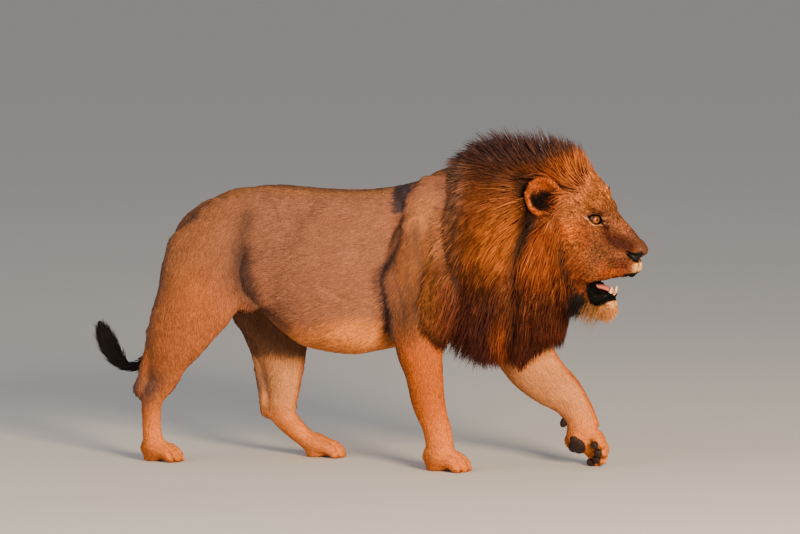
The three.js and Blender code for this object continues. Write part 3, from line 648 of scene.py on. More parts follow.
def closeTo(p, spots):
    # the wanted edge length near named spots of the head: place, radius, length
    q = toHead(p)
    out = np.full(len(p), 1e9)
    for at, radius, length in spots:
        r = norm(q - np.array(at, float))
        out = np.where(r < radius, np.minimum(out, length), out)
    return out


faceSpots = [((8, -52, 0), 36, 3.6), ((8, 52, 0), 36, 3.6), ((150, 0, -95), 48, 4.0),
             ((80, 0, -215), 78, 4.6), ((90, -30, -140), 60, 5.4)]
eyeSpots = [((8, -60, 0), 30, 2.0), ((8, 60, 0), 30, 2.0), ((156, 0, -104), 26, 2.4)]


soleHeight = 0.3  # the skin's lowest points, in mm over the floor


skinGrid = (  # start, end and spacing of each range, finer at the head and the feet
    ((-1090, 490, 11.0), (490, 900, 5.5)),
    ((-260, -175, 11.0), (-175, 40, 5.5), (40, 120, 7.0), (120, 260, 11.0)),
    ((-14, 90, 6.0), (90, 520, 11.0), (520, 1000, 7.0), (1000, 1160, 11.0)))


def makeSkinShape():
    # surface nets, each face cut along its shorter diagonal, then finer at face and eyes
    floorCut = lambda p: np.maximum(skinField(p), soleHeight - p[:, 2])
    p, quads = gridSurface(floorCut, *[stops(*ranges) for ranges in skinGrid])
    print("skin grid:", len(p), "points")
    onFloor = p[:, 2] < 2.0
    p[~onFloor] = settle(skinField, p[~onFloor])
    p[:, 2] = np.maximum(p[:, 2], soleHeight)
    short = (norm(p[quads[:, 0]] - p[quads[:, 2]])
             < norm(p[quads[:, 1]] - p[quads[:, 3]]))
    a, b, c, d = quads.T
    tri = np.vstack([np.stack([a, b, c], 1)[short], np.stack([a, c, d], 1)[short],
                     np.stack([a, b, d], 1)[~short], np.stack([b, c, d], 1)[~short]])
    p, tri = refine(p, tri, lambda c: closeTo(c, faceSpots), skinField)
    p, tri = refine(p, tri, lambda c: closeTo(c, eyeSpots), skinField)
    p[:, 2] = np.maximum(p[:, 2], soleHeight)
    return p, tri


def putMesh(name, p, faces):
    # p in the walking frame's millimetres; the mesh holds its place, the object stays at the origin
    mesh = bpy.data.meshes.new(name)
    faces = np.asarray(faces)
    sides = faces.shape[1]
    mesh.vertices.add(len(p))
    mesh.loops.add(faces.size)
    mesh.polygons.add(len(faces))
    mesh.vertices.foreach_set("co", (np.asarray(p) * mm + shift).ravel())
    mesh.loops.foreach_set("vertex_index", faces.ravel().astype(np.int32))
    mesh.polygons.foreach_set("loop_start", np.arange(0, faces.size, sides, dtype=np.int32))
    mesh.update(calc_edges=True)
    mesh.validate()
    mesh.shade_smooth()
    piece = bpy.data.objects.new(name, mesh)
    bpy.context.collection.objects.link(piece)
    return piece


skinPoints, skinTri = makeSkinShape()
print("skin:", len(skinPoints), "points,", len(skinTri), "triangles")


# colours: one function per region gives skin and coat the same markings and the same painted shade
def linear(hexColour):
    # sRGB hex to linear light
    c = np.array([int(hexColour[i:i + 2], 16) for i in (1, 3, 5)]) / 255
    return np.where(c <= 0.04045, c / 12.92, ((c + 0.055) / 1.055) ** 2.4)


# the colours for hollows, creases, behind the shoulder blade, over the brow, in the ear's hollow and under
# the mane are painted shade and shadow; the hock's grey-brown and the muzzle's side also serve as painted
# shade
coatColours = dict(
    cheekLow="#58250a", temple="#955220", jowl="#4b1f06", cheekGold="#a54f11", browGold="#894b1e",
    bellyFront="#f99240", shoulderTop="#b17146", bladeShadow="#2c2a32", tawny="#8d5940", back="#956034",
    rump="#9c6037", belly="#d27c3a", legs="#b35818", feet="#da782f", innerLeg="#c98855",
    hollowShade="#54382c", shoulder="#814a1c", creaseShadow="#2c1c1c", callus="#5c4c44", sole="#2b1c19",
    hockAndShade="#5d4640", tail="#433533", tailEnd="#1c1412", faceGold="#66391d", cheek="#692e08",
    deepCheek="#6d360f", forehead="#af602c", muzzleMarkAndShade="#320d02", bridge="#88492b", nose="#542e18",
    lip="#070302", noseTop="#4b2c23", padFront="#ffb26a", upperLip="#8d3d0e", pad="#5c1200",
    chin="#e99e59", lidLine="#d89a68", browShade="#4a2410", earRim="#944615", earShade="#190404",
    earBack="#1d1310", shadeUnderMane="#35190d", mouth="#5a2420", spots="#1c0e08")
coatColours = {name: linear(value) for name, value in coatColours.items()}


def lattice(p, size, seed):
    # smooth random values from -1 to 1, on a lattice this many millimetres apart
    table = np.random.default_rng(seed).random((32, 32, 32)) * 2 - 1
    q = p / size
    i = np.floor(q).astype(int)
    t = q - i
    t = t * t * (3 - 2 * t)
    out = np.zeros(len(p))
    for corner in range(8):
        d = np.array([corner & 1, corner >> 1 & 1, corner >> 2 & 1])
        w = np.prod(np.where(d, t, 1 - t), axis=1)
        j = (i + d) % 32
        out += w * table[j[:, 0], j[:, 1], j[:, 2]]
    return out


def spot(q, at, size, soft=0.5):
    # 1 inside an ellipsoid, falling to 0 at its edge
    r = norm((q - np.array(at, float)) / np.array(size, float))
    return 1 - rise(r, 1 - soft, 1 + soft * 0.3)


def sideSpot(p, x, z, wide, high):
    # a soft ellipse drawn in side view
    return spot(p * [1, 0, 1], (x, 0, z), (wide, 1, high), 0.9)


def tint(colour, name, amount):
    # moves the colour towards the named one by the amount
    target = coatColours[name] if isinstance(name, str) else name
    return colour + (target - colour) * np.clip(amount, 0, 1)[:, None]


def noseLeather(q):
    # 1 on the bare leather of the nose
    m = np.abs(q[:, 1])
    top = rise(q[:, 0] - 0.45 * (q[:, 2] + 60), 152, 157)
    return top * fall(m, 27, 31) * rise(q[:, 2], -120, -113)


def lipLine(m):
    # how far a point is from the opening of the mouth, in mm
    upper = ball(m, (66, 0, -207), (66, 37, 25), -14)
    lower = ball(m, (58, 0, -232), (54, 35, 22), -12)
    return np.minimum(upper, lower)


def drawn(x, z, outline, soft=4.0):
    # 1 inside a closed outline drawn in side view, 0 outside, over `soft` mm
    inside, best = np.zeros(len(x), bool), np.full(len(x), 1e9)
    corners = np.array(outline, float)
    for (ax, az), (bx, bz) in zip(corners, np.roll(corners, -1, 0)):
        inside ^= ((az > z) != (bz > z)) & (x < (bx - ax) * (z - az) / (bz - az + 1e-9) + ax)
        t = np.clip(((x - ax) * (bx - ax) + (z - az) * (bz - az)) / ((bx - ax) ** 2 + (bz - az) ** 2), 0, 1)
        best = np.minimum(best, np.hypot(x - ax - t * (bx - ax), z - az - t * (bz - az)))
    return 1 - rise(np.where(inside, -best, best), -soft / 2, soft / 2)


outlines = dict(  # the head's dark markings, and painted shade over the eye, in the nostril and partly on the muzzle's side, in its own side view
    lowerLip=[(8, -216), (12, -244), (25, -274), (37, -290), (57, -290), (76, -275), (100, -262),
              (123, -254), (124, -232), (108, -226), (84, -238), (62, -226), (46, -210), (22, -210)],
    nostril=[(120, -86), (146, -92), (160, -88), (174, -80), (180, -92), (172, -110), (166, -130),
             (156, -124), (146, -113), (128, -102)],
    frontLip=[(130, -164), (146, -160), (164, -150), (180, -150), (182, -190), (136, -192)],
    browShade=[(8, 16), (22, 28), (40, 30), (46, 18), (30, 12)],
    muzzleMarkAndShade=[(36, -26), (80, -33), (112, -40), (146, -54), (156, -76), (130, -90), (96, -86),
                (60, -68)])


def shareOf(weight, *names):
    # how much of each point belongs to these parts
    return sum(weight[name] for name in names)


legNames, headNames = ("foreRight", "foreLeft", "hindRight", "hindLeft"), ("head", "jaw", "ear")


def headColour(q, m, ear):
    # a gold ground, then cheeks, brow, muzzle, lids, whisker lines, nose, lips and ears, with painted shade
    # in the brow's furrow, over the eyes, in the nostrils, in the ears' hollows and partly on the muzzle's
    # sides
    x, y, z = m.T
    f = np.tile(coatColours["faceGold"], (len(q), 1))
    f = tint(f, "cheek", spot(m, (-20, 85, -50), (60, 60, 50), 0.9) * 0.8)
    f = tint(f, "cheekGold", rise(-x - 0.25 * z, 8, 60) * rise(-z, -10, 40))
    f = tint(f, "deepCheek", rise(-x - 0.25 * z, -6, 44) * rise(-z, 40, 90))
    low = rise(-x, 20, 66) * rise(-z, 70, 130) * 0.9 + rise(-z, 150, 190) * rise(-x, -10, 40) * 0.6
    f = tint(f, "cheekLow", low)
    f = tint(f, "deepCheek", rise(-z, 60, 110) * rise(-x, -22, 14) * 0.8)
    f = tint(f, "jowl", rise(-z, 108, 190) * rise(-x, -34, 4))
    f = tint(f, "jowl", spot(m, (-53, 90, -145), (34, 70, 30), 0.9) * 0.7)
    f = tint(f, "cheekGold", spot(m, (-20, 60, -196), (34, 70, 28), 0.9) * 0.4)
    f = tint(f, "temple", spot(m, (-66, 90, 4), (50, 60, 34), 0.9) * 0.9)
    f = tint(f, "forehead", rise(z - 0.5 * x, 50, 100) + rise(-x, 70, 130) * rise(z, -60, 0))
    brow = rise(z - 0.5 * x, 6, 50) * rise(x, -60, -10) + 0.1 * spot(m, (-6, 60, -40), (60, 50, 34), 0.9)
    f = tint(f, "browGold", brow)
    f = tint(f, "bridge", spot(m, (90, 0, -20), (70, 34, 34), 0.8) * 0.9)
    # painted shade in the brow's middle furrow
    f = tint(f, "creaseShadow", fall(y, 2, 7) * rise(x, -60, -30) * rise(-x, -16, 20) * 0.6)
    # the muzzle's side darker: partly its own marking, partly painted shade
    f = tint(f, "muzzleMarkAndShade", drawn(x, z, outlines["muzzleMarkAndShade"], 30) * 0.95)
    f = tint(f, "noseTop", spot(m, (136, 0, -30), (44, 44, 34), 0.9) * 0.75)
    # painted shade in the hollow above the eye and along the brow's crease
    f = tint(f, "browShade", drawn(x, z, outlines["browShade"], 12) * 0.85)
    crease = nearLine(m, [[-34, 120], [21, 68], [52, 36]], 4.5)
    f = tint(f, "browShade", crease * (y > 8) * (y < 40) * 0.5)
    f = tint(f, "upperLip", spot(m, (84, 55, -160), (60, 60, 40), 0.9))
    f = tint(f, "pad", spot(m, (112, 45, -134), (46, 50, 24), 0.9) * 0.8)
    f = tint(f, "padFront", spot(m, (160, 14, -142), (20, 28, 30), 0.7))
    chin = spot(m, (76, 0, -308), (50, 60, 34), 0.5) + 0.8 * spot(m, (100, 0, -268), (40, 60, 18), 0.4)
    f = tint(f, "chin", chin)
    s, t, u = eyeFrame(q)
    gap = lidGap(t, u)
    seen = (s > -4) & (np.abs(x) < 60)
    # painted shade of the brow over the upper lid
    f = tint(f, "browShade", seen * fall(gap, 8, 17) * rise(u, -2, 6) * 0.55)
    f = tint(f, "lidLine", seen * np.exp(-((gap - 8.0) / 2.6) ** 2) * rise(-u, -1, 5) * 0.85)
    f = tint(f, "lidLine", seen * spot(np.stack([t, u, s], 1), (24, 13, 10), (8, 7, 30), 0.9) * 0.5)
    f = tint(f, "lip", seen * fall(gap - 2.0 * (u > 0), 3.2, 5.2))
    corner = np.stack([t, 0 * t, u], 1)
    f = tint(f, "lip", seen * nearLine(corner, [[24, -4], [31, -11], [38, -17]], 6.0))
    # the dark tear line down from the eye's inner corner, partly painted shade
    f = tint(f, "muzzleMarkAndShade", seen * nearLine(corner, [[38, -17], [52, -30]], 9.0) * 0.8)
    for row in range(4):
        whiskerLine = [[80 + 2 * row, -120 - 9 * row], [144, -112 - 9 * row]]
        f = tint(f, "spots", nearLine(m, whiskerLine, 2.2) * (y > 14) * 0.35)
        for place in range(6):
            at = (90 + 10 * place - 2 * row, -119 - 9 * row + 1.2 * place)
            f = tint(f, "spots", fall(np.hypot(x - at[0], z - at[1]), 2.0, 4.4) * (y > 14) * 0.9)
    f = tint(f, "nose", noseLeather(q))
    # the nostril painted black: painted shade in its opening
    f = tint(f, "lip", drawn(x, z, outlines["nostril"], 3) * (y > 6) * (x > 118))
    f = tint(f, "lip", fall(y, 1.8, 4) * rise(x, 140, 148) * rise(-z, 104, 112) * 0.9)
    f = tint(f, "lip", drawn(x, z, outlines["lowerLip"], 5))
    f = tint(f, "lip", drawn(x, z, outlines["frontLip"], 5))
    mouth = lipLine(m)
    f = tint(f, "lip", rise(-z, 140, 150) * fall(mouth, 2.5, 5) * rise(x, 4, 14))
    f = tint(f, "mouth", fall(mouth, -7, -4) * (y < 34) * rise(x, 0, 10))
    r, rim = toEar(m)
    # painted shade in the ear's hollow, darkest low in it
    hollowShade = fall(rim, 0.62, 0.8) * rise(r[:, 0], -64, -58) * fall(r[:, 0], 26, 40)
    f = tint(f, "earRim", ear)
    f = tint(f, "earShade", hollowShade * (1 - 0.9 * rise(r[:, 2], -4, 42)))
    return tint(f, "earBack", ear * rise(-r[:, 0], 6, 16) * fall(rim, 0.6, 0.85) * (hollowShade < 0.1))


def coatColour(p, normal, weight, mane):
    # a tawny ground, then each region's colour, the painted shade and shadow of folds, hollows, the far thigh
    # and the mane's edge, soles and head
    q = toHead(p)
    m = mirrored(q)
    x, y, z = p.T
    leg = shareOf(weight, *legNames)
    c = np.tile(coatColours["tawny"], (len(p), 1))
    c = tint(c, "rump", rise(-x, 480, 700) * 0.8)
    c = tint(c, "back", rise(normal[:, 2], 0.75, 0.98) * rise(z, 850, 920) * 0.7)
    c = tint(c, "belly", rise(-z, -520, -420) * (1 - leg) * 0.9)
    right, left = y < -40, y > 40
    fore = shareOf(weight, *legNames[:2])
    c = tint(c, "shoulder", rise(x, 0, 60) * rise(z, 400, 480) * fall(z, 780, 900) * 0.7)
    c = tint(c, "legs", fore * rise(-z, -560, -380) + (leg - fore) * rise(-z, -740, -430) * 0.4)
    c = tint(c, "legs", 0.3 * sideSpot(p, -650, 600, 120, 130) * (leg - fore))
    # painted shade behind the elbow and faintly on the thigh
    c = tint(c, "hollowShade", 0.5 * sideSpot(p, 70, 545, 110, 110) * fore)
    c = tint(c, "hollowShade", 0.2 * sideSpot(p, -590, 700, 80, 120) * (leg - fore))
    c = tint(c, "bellyFront", 0.75 * sideSpot(p, -110, 462, 140, 62) * (1 - leg))
    c = tint(c, "shoulderTop", 0.8 * sideSpot(p, 120, 880, 70, 80))
    side = np.where(y > 0, 1, -1)
    c = tint(c, "innerLeg", leg * rise(-normal[:, 1] * side, 0.15, 0.8) * rise(-z, -640, -420) * 0.8)
    c = tint(c, "feet", leg * rise(-z, -240, -90) * 0.85)
    ankle = rise(-x, 480, 520) * spot(p * [0, 1, 1], (0, 0, 260), (1, 400, 80), 0.9)
    c = tint(c, "hockAndShade", leg * ankle * rise(-normal[:, 0], -0.4, 0.3) * 0.85)
    # painted shade along the flank's fold in front of the thigh, its darkest line, the web below it and faint
    # lines over the ribs
    flank = [[-496, 848], [-518, 739], [-524, 661], [-508, 610]]
    c = tint(c, "hollowShade", 0.85 * nearLine(p, flank, 36) * right)
    c = tint(c, "hollowShade", 0.95 * nearLine(p, [[-512, 740], [-504, 650], [-474, 580]], 34) * right)
    c = tint(c, "creaseShadow", 0.6 * nearLine(p, [[-512, 716], [-508, 650], [-480, 592]], 28) * right)
    c = tint(c, "hollowShade", 0.6 * nearLine(p, [[-500, 600], [-444, 525], [-374, 467]], 22) * right)
    c = tint(c, "hollowShade", 0.35 * nearLine(p, [[-242, 889], [-304, 814], [-328, 746]], 18) * right)
    # the thigh's back edge darkened in the hock's grey-brown: painted shade
    c = tint(c, "hockAndShade", 0.6 * rise(-normal[:, 0], 0.3, 0.85) * rise(-x, 540, 660) * rise(z, 350, 450))
    # painted shade along the left flank's fold
    c = tint(c, "hollowShade", nearLine(p, [[-490, 830], [-460, 720], [-415, 600], [-385, 520]], 46) * left)
    # painted shadow behind the right shoulder blade
    bladeShadow = [(0, 990), (76, 990), (66, 950), (58, 915), (50, 880), (30, 866), (14, 882), (4, 930)]
    c = tint(c, "bladeShadow", 0.95 * drawn(x, z, bladeShadow, 10) * rise(-y, -24, 6))
    # painted shadow in the fold behind the upper arm, on both sides, and in the armpit
    c = tint(c, "creaseShadow", nearLine(p, armFold, 9 + 9 * rise(-z, -770, -700)) * right)
    c = tint(c, "creaseShadow", 0.8 * nearLine(p, armFoldLeft, 12) * left)
    armpit = sideSpot(p, 4, 470, 40, 70) * rise(-x, -44, -14)
    c = tint(c, "creaseShadow", 0.55 * armpit * right)
    # painted shade in the creases of the right upper arm and on the back of its foreleg
    c = tint(c, "hollowShade", 0.6 * nearLine(p, [[105, 830], [114, 740], [130, 680], [150, 610]], 16) * right)
    c = tint(c, "hollowShade", 0.5 * nearLine(p, [[38, 711], [45, 631], [68, 571], [70, 530]], 10) * right)
    c = tint(c, "hollowShade", weight["foreRight"] * rise(-normal[:, 0], 0.3, 0.9) * rise(z, 230, 300) * 0.6)
    shaded = rise(z + 8 * lattice(p, 24, 33), 342, 362) * rise(-normal[:, 1], -0.6, 0.1)  # painted shadow cast by the belly on the far thigh
    c = tint(c, "hollowShade", weight["hindLeft"] * shaded * 0.85)
    # painted shade along the top of the back, where it faces up
    c = tint(c, "hollowShade", rise(normal[:, 2], 0.9, 0.99) * rise(z, 900, 925) * 0.5 * rise(x, -520, -440))
    # painted shade in streaks over the upper arm
    streak = lattice(p * np.array([1.5, 1, 0.35]), 20, 12)
    upperArm = rise(x, 10, 50) * rise(z, 440, 520) * fall(z, 800, 900)
    c = tint(c, "hollowShade", 0.5 * rise(streak, 0.1, 0.6) * upperArm)
    elbows = [spot(p, at, (22, 30, 40), 0.6) for at in ((8, -166, 470), (290, 166, 400))]
    c = tint(c, "callus", sum(elbows))
    scars = 0.8 * spot(p, (-415, 150, 319), (9, 60, 8)) + 0.5 * spot(p, (-438, 150, 262), (7, 60, 6))
    c = tint(c, "spots", scars)
    c = tint(c, "tail", weight["tail"] * rise(-z, -800, -600))
    c = tint(c, "tailEnd", weight["tail"] * rise(-z, -400, -320))
    for each in legs:
        paw = each["paw"]
        r = (p - np.array(paw["at"])) @ turn(paw["pitch"], paw["yaw"], paw["roll"]) / paw["scale"]
        c = tint(c, "sole", (norm(r) < 110) * rise(-r[:, 2], -9, -3))
    head = np.clip(shareOf(weight, *headNames), 0, 1)
    f = headColour(q, m, np.clip(weight["ear"] * 1.6, 0, 1))
    edge = maneField(p)
    # painted shade along the mane's edge on the body, and under its front
    c = tint(c, "creaseShadow", fall(edge, 0, 34) * (z > 430) * 0.25)
    c = tint(c, "shadeUnderMane", fall(edge, 0, 40) * rise(x, 380, 440) * (z > 560))
    c = c + (f - c) * rise(head, 0.3, 0.7)[:, None]
    # the skin under the mane painted dark as the shade among its locks
    c = tint(c, "shadeUnderMane", mane)
    return c * (1 + 0.09 * lattice(p, 60, 3) + 0.06 * lattice(p, 17, 4))[:, None]


# what each point of the skin carries: part, colour, lie of the coat
def pointNormals(p, tri):
    n = np.cross(p[tri[:, 1]] - p[tri[:, 0]], p[tri[:, 2]] - p[tri[:, 0]])
    out = np.stack([sum(np.bincount(tri[:, i], n[:, k], len(p)) for i in range(3)) for k in range(3)], 1)
    return out / np.maximum(norm(out), 1e-9)[:, None]


def unit(v):
    # each vector at length 1
    return v / np.maximum(np.linalg.norm(v, axis=-1, keepdims=True), 1e-9)


def hairline(q):
    # behind this the head carries mane: distance in mm, positive on the mane's side
    z, y = q[:, 2], np.abs(q[:, 1])
    edge = np.interp(z, [-260, -225, -145, -46, 10, 60, 100], [-10, -24, -52, -68, -92, -74, -46])
    return edge - q[:, 0] - 0.12 * np.maximum(60 - y, 0) * (z > 40)


def lieOfCoat(p, q, weight):
    # the way the hairs lie, by part
    zero = np.zeros(len(p))
    one = zero + 1
    lie = np.stack([-one, zero, -0.22 - 0.4 * rise(-p[:, 2], -600, -420)], 1) * weight["trunk"][:, None]
    down = np.stack([-0.35 * rise(p[:, 2], 350, 700), zero, -one], 1)
    lie += down * (weight["foreRight"] + weight["hindRight"])[:, None]
    lean = np.stack([0.5 * one, zero, -0.86 * one], 1)
    lie += lean * weight["foreLeft"][:, None]
    foot = np.stack([np.where(p[:, 2] < 190, 0.75, -0.1), zero, -0.75 * one], 1)
    lie += foot * weight["hindLeft"][:, None]
    for leg in legs:
        paw = leg["paw"]
        onPaw = 1 - rise(norm(p - np.array(paw["at"]) - np.array([0, 0, 30.0])), 60, 100)
        ahead = turn(paw["pitch"], paw["yaw"], paw["roll"]) @ np.array([1.0, 0, -0.5])
        lie = lie * (1 - onPaw)[:, None] + ahead * onPaw[:, None]
    level = rise(-p[:, 2], -400, -330)
    lie += np.stack([-0.2 - level, zero, level - 1], 1) * weight["tail"][:, None]
    source = np.array([178, 0, -78.0])
    r = unit(q - source)
    r[:, 2] -= 0.35 * rise(-q[:, 2], 60, 200) + 0.8 * rise(-q[:, 2], 0, 100) * rise(-q[:, 0], -30, 50)
    r[:, 1] += 0.25 * np.sign(q[:, 1]) * rise(q[:, 0], 20, 120)
    lie += (r @ headTurn.T) * (weight["head"] + weight["jaw"])[:, None]
    m = mirrored(q)
    e = m - earAt + np.array([0, 0, 30.0])
    e[:, 1] *= np.where(q[:, 1] < 0, -1, 1)
    lie += (unit(e + np.array([0, 0, 10.0])) @ headTurn.T) * weight["ear"][:, None]
    return lie


def skinData(p, tri):
    # a part's share of a point is exp(-distance / 14 mm); the rest follows from the shares
    parts = partFields(p)
    names = list(parts)
    distance = np.stack([parts[n] for n in names])
    soft = np.exp(-(distance - distance.min(0)) / 14.0)
    soft /= soft.sum(0)
    weight = dict(zip(names, soft))
    normal = pointNormals(p, tri)
    q = toHead(p)
    r, rim = toEar(mirrored(q))
    pit = (rim < 0.8) & (np.abs(r[:, 0] + 5) < 40)  # the ear's hollow
    weight = {name: np.where(pit, float(name == "ear"), share) for name, share in weight.items()}
    headish = shareOf(weight, *headNames)
    under = maneField(p)
    margin = 4 + 12 * rise(p[:, 2], 520, 620) + 9 * lattice(p, 22, 31)
    mane = rise(margin - under, 0, 10) * (1 - headish * rise(-hairline(q), -6, 6))
    mane = np.maximum(mane, headish * rise(hairline(q), -10, 8) * (1 - np.clip(weight["ear"] * 2.5, 0, 1)))
    mane *= 1 - rise(weight["foreRight"] + weight["foreLeft"], 0.5, 0.9) * rise(-p[:, 2], -560, -480)
    mane *= rise(p[:, 0] - maneRear(p[:, 2]) + 12 * lattice(p, 22, 32), -24, 14)
    overArm = [(212, 850), (184, 740), (146, 620), (148, 520), (176, 478), (262, 466), (340, 520), (350, 850)]
    mane = np.maximum(mane, 0.95 * drawn(p[:, 0], p[:, 2], overArm, 30) * (np.abs(p[:, 1]) > 60))
    lie = lieOfCoat(p, q, weight)
    lie -= normal * (lie * normal).sum(1)[:, None]
    s, t, u = eyeFrame(q)
    m = mirrored(q)
    lids = (s > -6) * fall(lidGap(t, u), 4.5, 7.5) * (headish > 0.5)
    lips = fall(lipLine(m), 3, 6) * rise(q[:, 0], -10, 5)
    for name in ("lowerLip", "frontLip", "nostril"):
        lips = np.maximum(lips, drawn(m[:, 0], m[:, 2], outlines[name], 4))
    lips = lips * (headish > 0.5)
    bare = np.clip(lids + lips + noseLeather(q) * (headish > 0.5) + (p[:, 2] < 3), 0, 1)
    toNose = norm(q - np.array([160, 0, -90.0]))
    faceLength = 5.0 + 17 * rise(toNose, 60, 330) + 10 * rise(hairline(q), -60, 0)
    leg = shareOf(weight, *legNames)
    bodyLength = 17 - 4 * leg * rise(-p[:, 2], -500, -200) - 5 * leg * rise(-p[:, 2], -130, -40)
    bodyLength += 9 * rise(-p[:, 2], -480, -390) * (1 - leg)
    bodyLength += 8 * rise(hairline(q), -200, -40) * (1 - headish)
    length = bodyLength * (1 - headish) + faceLength * headish
    length *= 1 - 0.65 * weight["ear"]
    colour = np.clip(coatColour(p, normal, weight, mane), 0.002, 0.95)
    return dict(normal=normal, lie=unit(lie), colour=colour, mane=mane[:, None], bare=bare[:, None],
                length=length[:, None], head=headish[:, None],
                part=np.stack([weight[n] for n in names], 1))


data = skinData(skinPoints, skinTri)
print("markings and lie of the coat done")


# materials
def node(tree, kind, inputs=None, **settings):
    # adds a node with its settings; an input is a value or another node's output
    made = tree.nodes.new(kind)
    for key, value in settings.items():
        setattr(made, key, value)
    for key, value in (inputs or {}).items():
        if isinstance(value, bpy.types.NodeSocket):
            tree.links.new(value, made.inputs[key])
        else:
            made.inputs[key].default_value = value
    return made


def makeMaterial(name, roughness, ior=1.5, specular=0.5, fleck=0.0, grain=400.0, relief=0.0, cells=False,
                 wet=0.0):
    # colour from the piece's own attribute, darker and lighter by `fleck` in grains of 1/grain metres,
    # with the grains standing out by `relief` mm; `wet` is a clear film over it
    mat = bpy.data.materials.new(name)
    mat.use_nodes = True
    tree = mat.node_tree
    shader = tree.nodes["Principled BSDF"]
    for socket, value in (("Roughness", roughness), ("IOR", ior), ("Specular IOR Level", specular),
                          ("Coat Weight", wet), ("Coat Roughness", 0.06)):
        shader.inputs[socket].default_value = value
    colour = node(tree, "ShaderNodeAttribute", attribute_name="coat").outputs["Color"]
    place = node(tree, "ShaderNodeTexCoord").outputs["Object"]
    if cells:
        height = node(tree, "ShaderNodeTexVoronoi", {"Vector": place, "Scale": grain}).outputs["Distance"]
    else:
        height = node(tree, "ShaderNodeTexNoise", {"Vector": place, "Scale": grain,
                                                   "Detail": 2.0}).outputs["Fac"]
    if fleck:
        level = node(tree, "ShaderNodeMapRange", {"Value": height, "From Min": 0.35, "From Max": 0.65,
                                                  "To Min": 1 - fleck, "To Max": 1 + fleck}).outputs["Result"]
        colour = node(tree, "ShaderNodeVectorMath", {0: colour, "Scale": level},
                      operation="SCALE").outputs["Vector"]
    if relief:
        bump = node(tree, "ShaderNodeBump", {"Height": height, "Distance": relief * mm, "Strength": 1.0})
        tree.links.new(bump.outputs["Normal"], shader.inputs["Normal"])
    tree.links.new(colour, shader.inputs["Base Color"])
    return mat


materials = dict(
    # short dull hair; a hair is 0.1 mm, but its grain is drawn about 4 mm wide so that it shows
    shortFur=makeMaterial("shortFur", 0.78, specular=0.2, fleck=0.22, grain=260, relief=1.0),
    # the face's shorter, grizzled hair: dark hairs among the golden ones, in grains of about 6 mm
    faceFur=makeMaterial("faceFur", 0.78, specular=0.15, fleck=0.5, grain=170, relief=0.8),
    # coarse mane hair, a little glossier along its length, uneven over about 4 mm
    maneHair=makeMaterial("maneHair", 0.6, specular=0.22, fleck=0.10, grain=250),
    # damp leather of nose and pads, its pebbles 1.5 to 2 mm wide
    noseLeather=makeMaterial("noseLeather", 0.6, ior=1.45, specular=0.2, fleck=0.3, grain=600, relief=0.5,
                             cells=True, wet=0.03),
    # wet black lips and the inside of the mouth, in folds about 4 mm wide
    lips=makeMaterial("wetLips", 0.6, ior=1.4, specular=0.05, fleck=0.4, grain=250, relief=1.5, wet=0.01),
    # wet tongue with papillae of about 1 mm
    tongue=makeMaterial("tongueFlesh", 0.45, ior=1.4, fleck=0.12, grain=900, relief=0.5, cells=True, wet=0.6),
    # polished ivory of the teeth, faintly stained over about 8 mm
    tooth=makeMaterial("toothIvory", 0.25, ior=1.6, fleck=0.06, grain=120),
    # the wet eyeball; the fibres of its iris are under 1 mm
    eye=makeMaterial("wetEye", 0.3, ior=1.38, fleck=0.10, grain=1500, wet=0.15))


def paint(piece, colour, material):
    # the piece's own colour attribute, and its material
    layer = piece.data.attributes.new("coat", "FLOAT_COLOR", "POINT")
    colour = np.broadcast_to(colour, (len(piece.data.vertices), 3))
    layer.data.foreach_set("color", np.hstack([colour, np.ones((len(colour), 1))]).astype(np.float32).ravel())
    piece.data.materials.append(materials[material])


skin = putMesh("skin", skinPoints, skinTri)
paint(skin, data["colour"], "shortFur")
skin.data.materials.append(materials["noseLeather"])
skin.data.materials.append(materials["lips"])
skin.data.materials.append(materials["faceFur"])
leather = noseLeather(toHead(skinPoints)) * (data["head"][:, 0] > 0.5)
wet = data["bare"][:, 0] * (leather < 0.5) * (skinPoints[:, 2] > 5)
kind = np.where(data["head"][skinTri, 0].mean(1) > 0.5, 3, 0)
kind = np.where(leather[skinTri].mean(1) > 0.5, 1, np.where(wet[skinTri].mean(1) > 0.6, 2, kind))
skin.data.polygons.foreach_set("material_index", kind.astype(np.int32))
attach(skin, "root")
ownPiece = ("eye", "tongue", "canine", "tail_tuft")  # these nodes have pieces of their own
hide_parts(*[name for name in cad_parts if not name.startswith(ownPiece)])
print("skin in place")


# eyes, tongue and teeth
eye = dict(pupil=13, iris=45, edge=49, bulge=1.7)  # degrees from the gaze; the cornea's height in mm


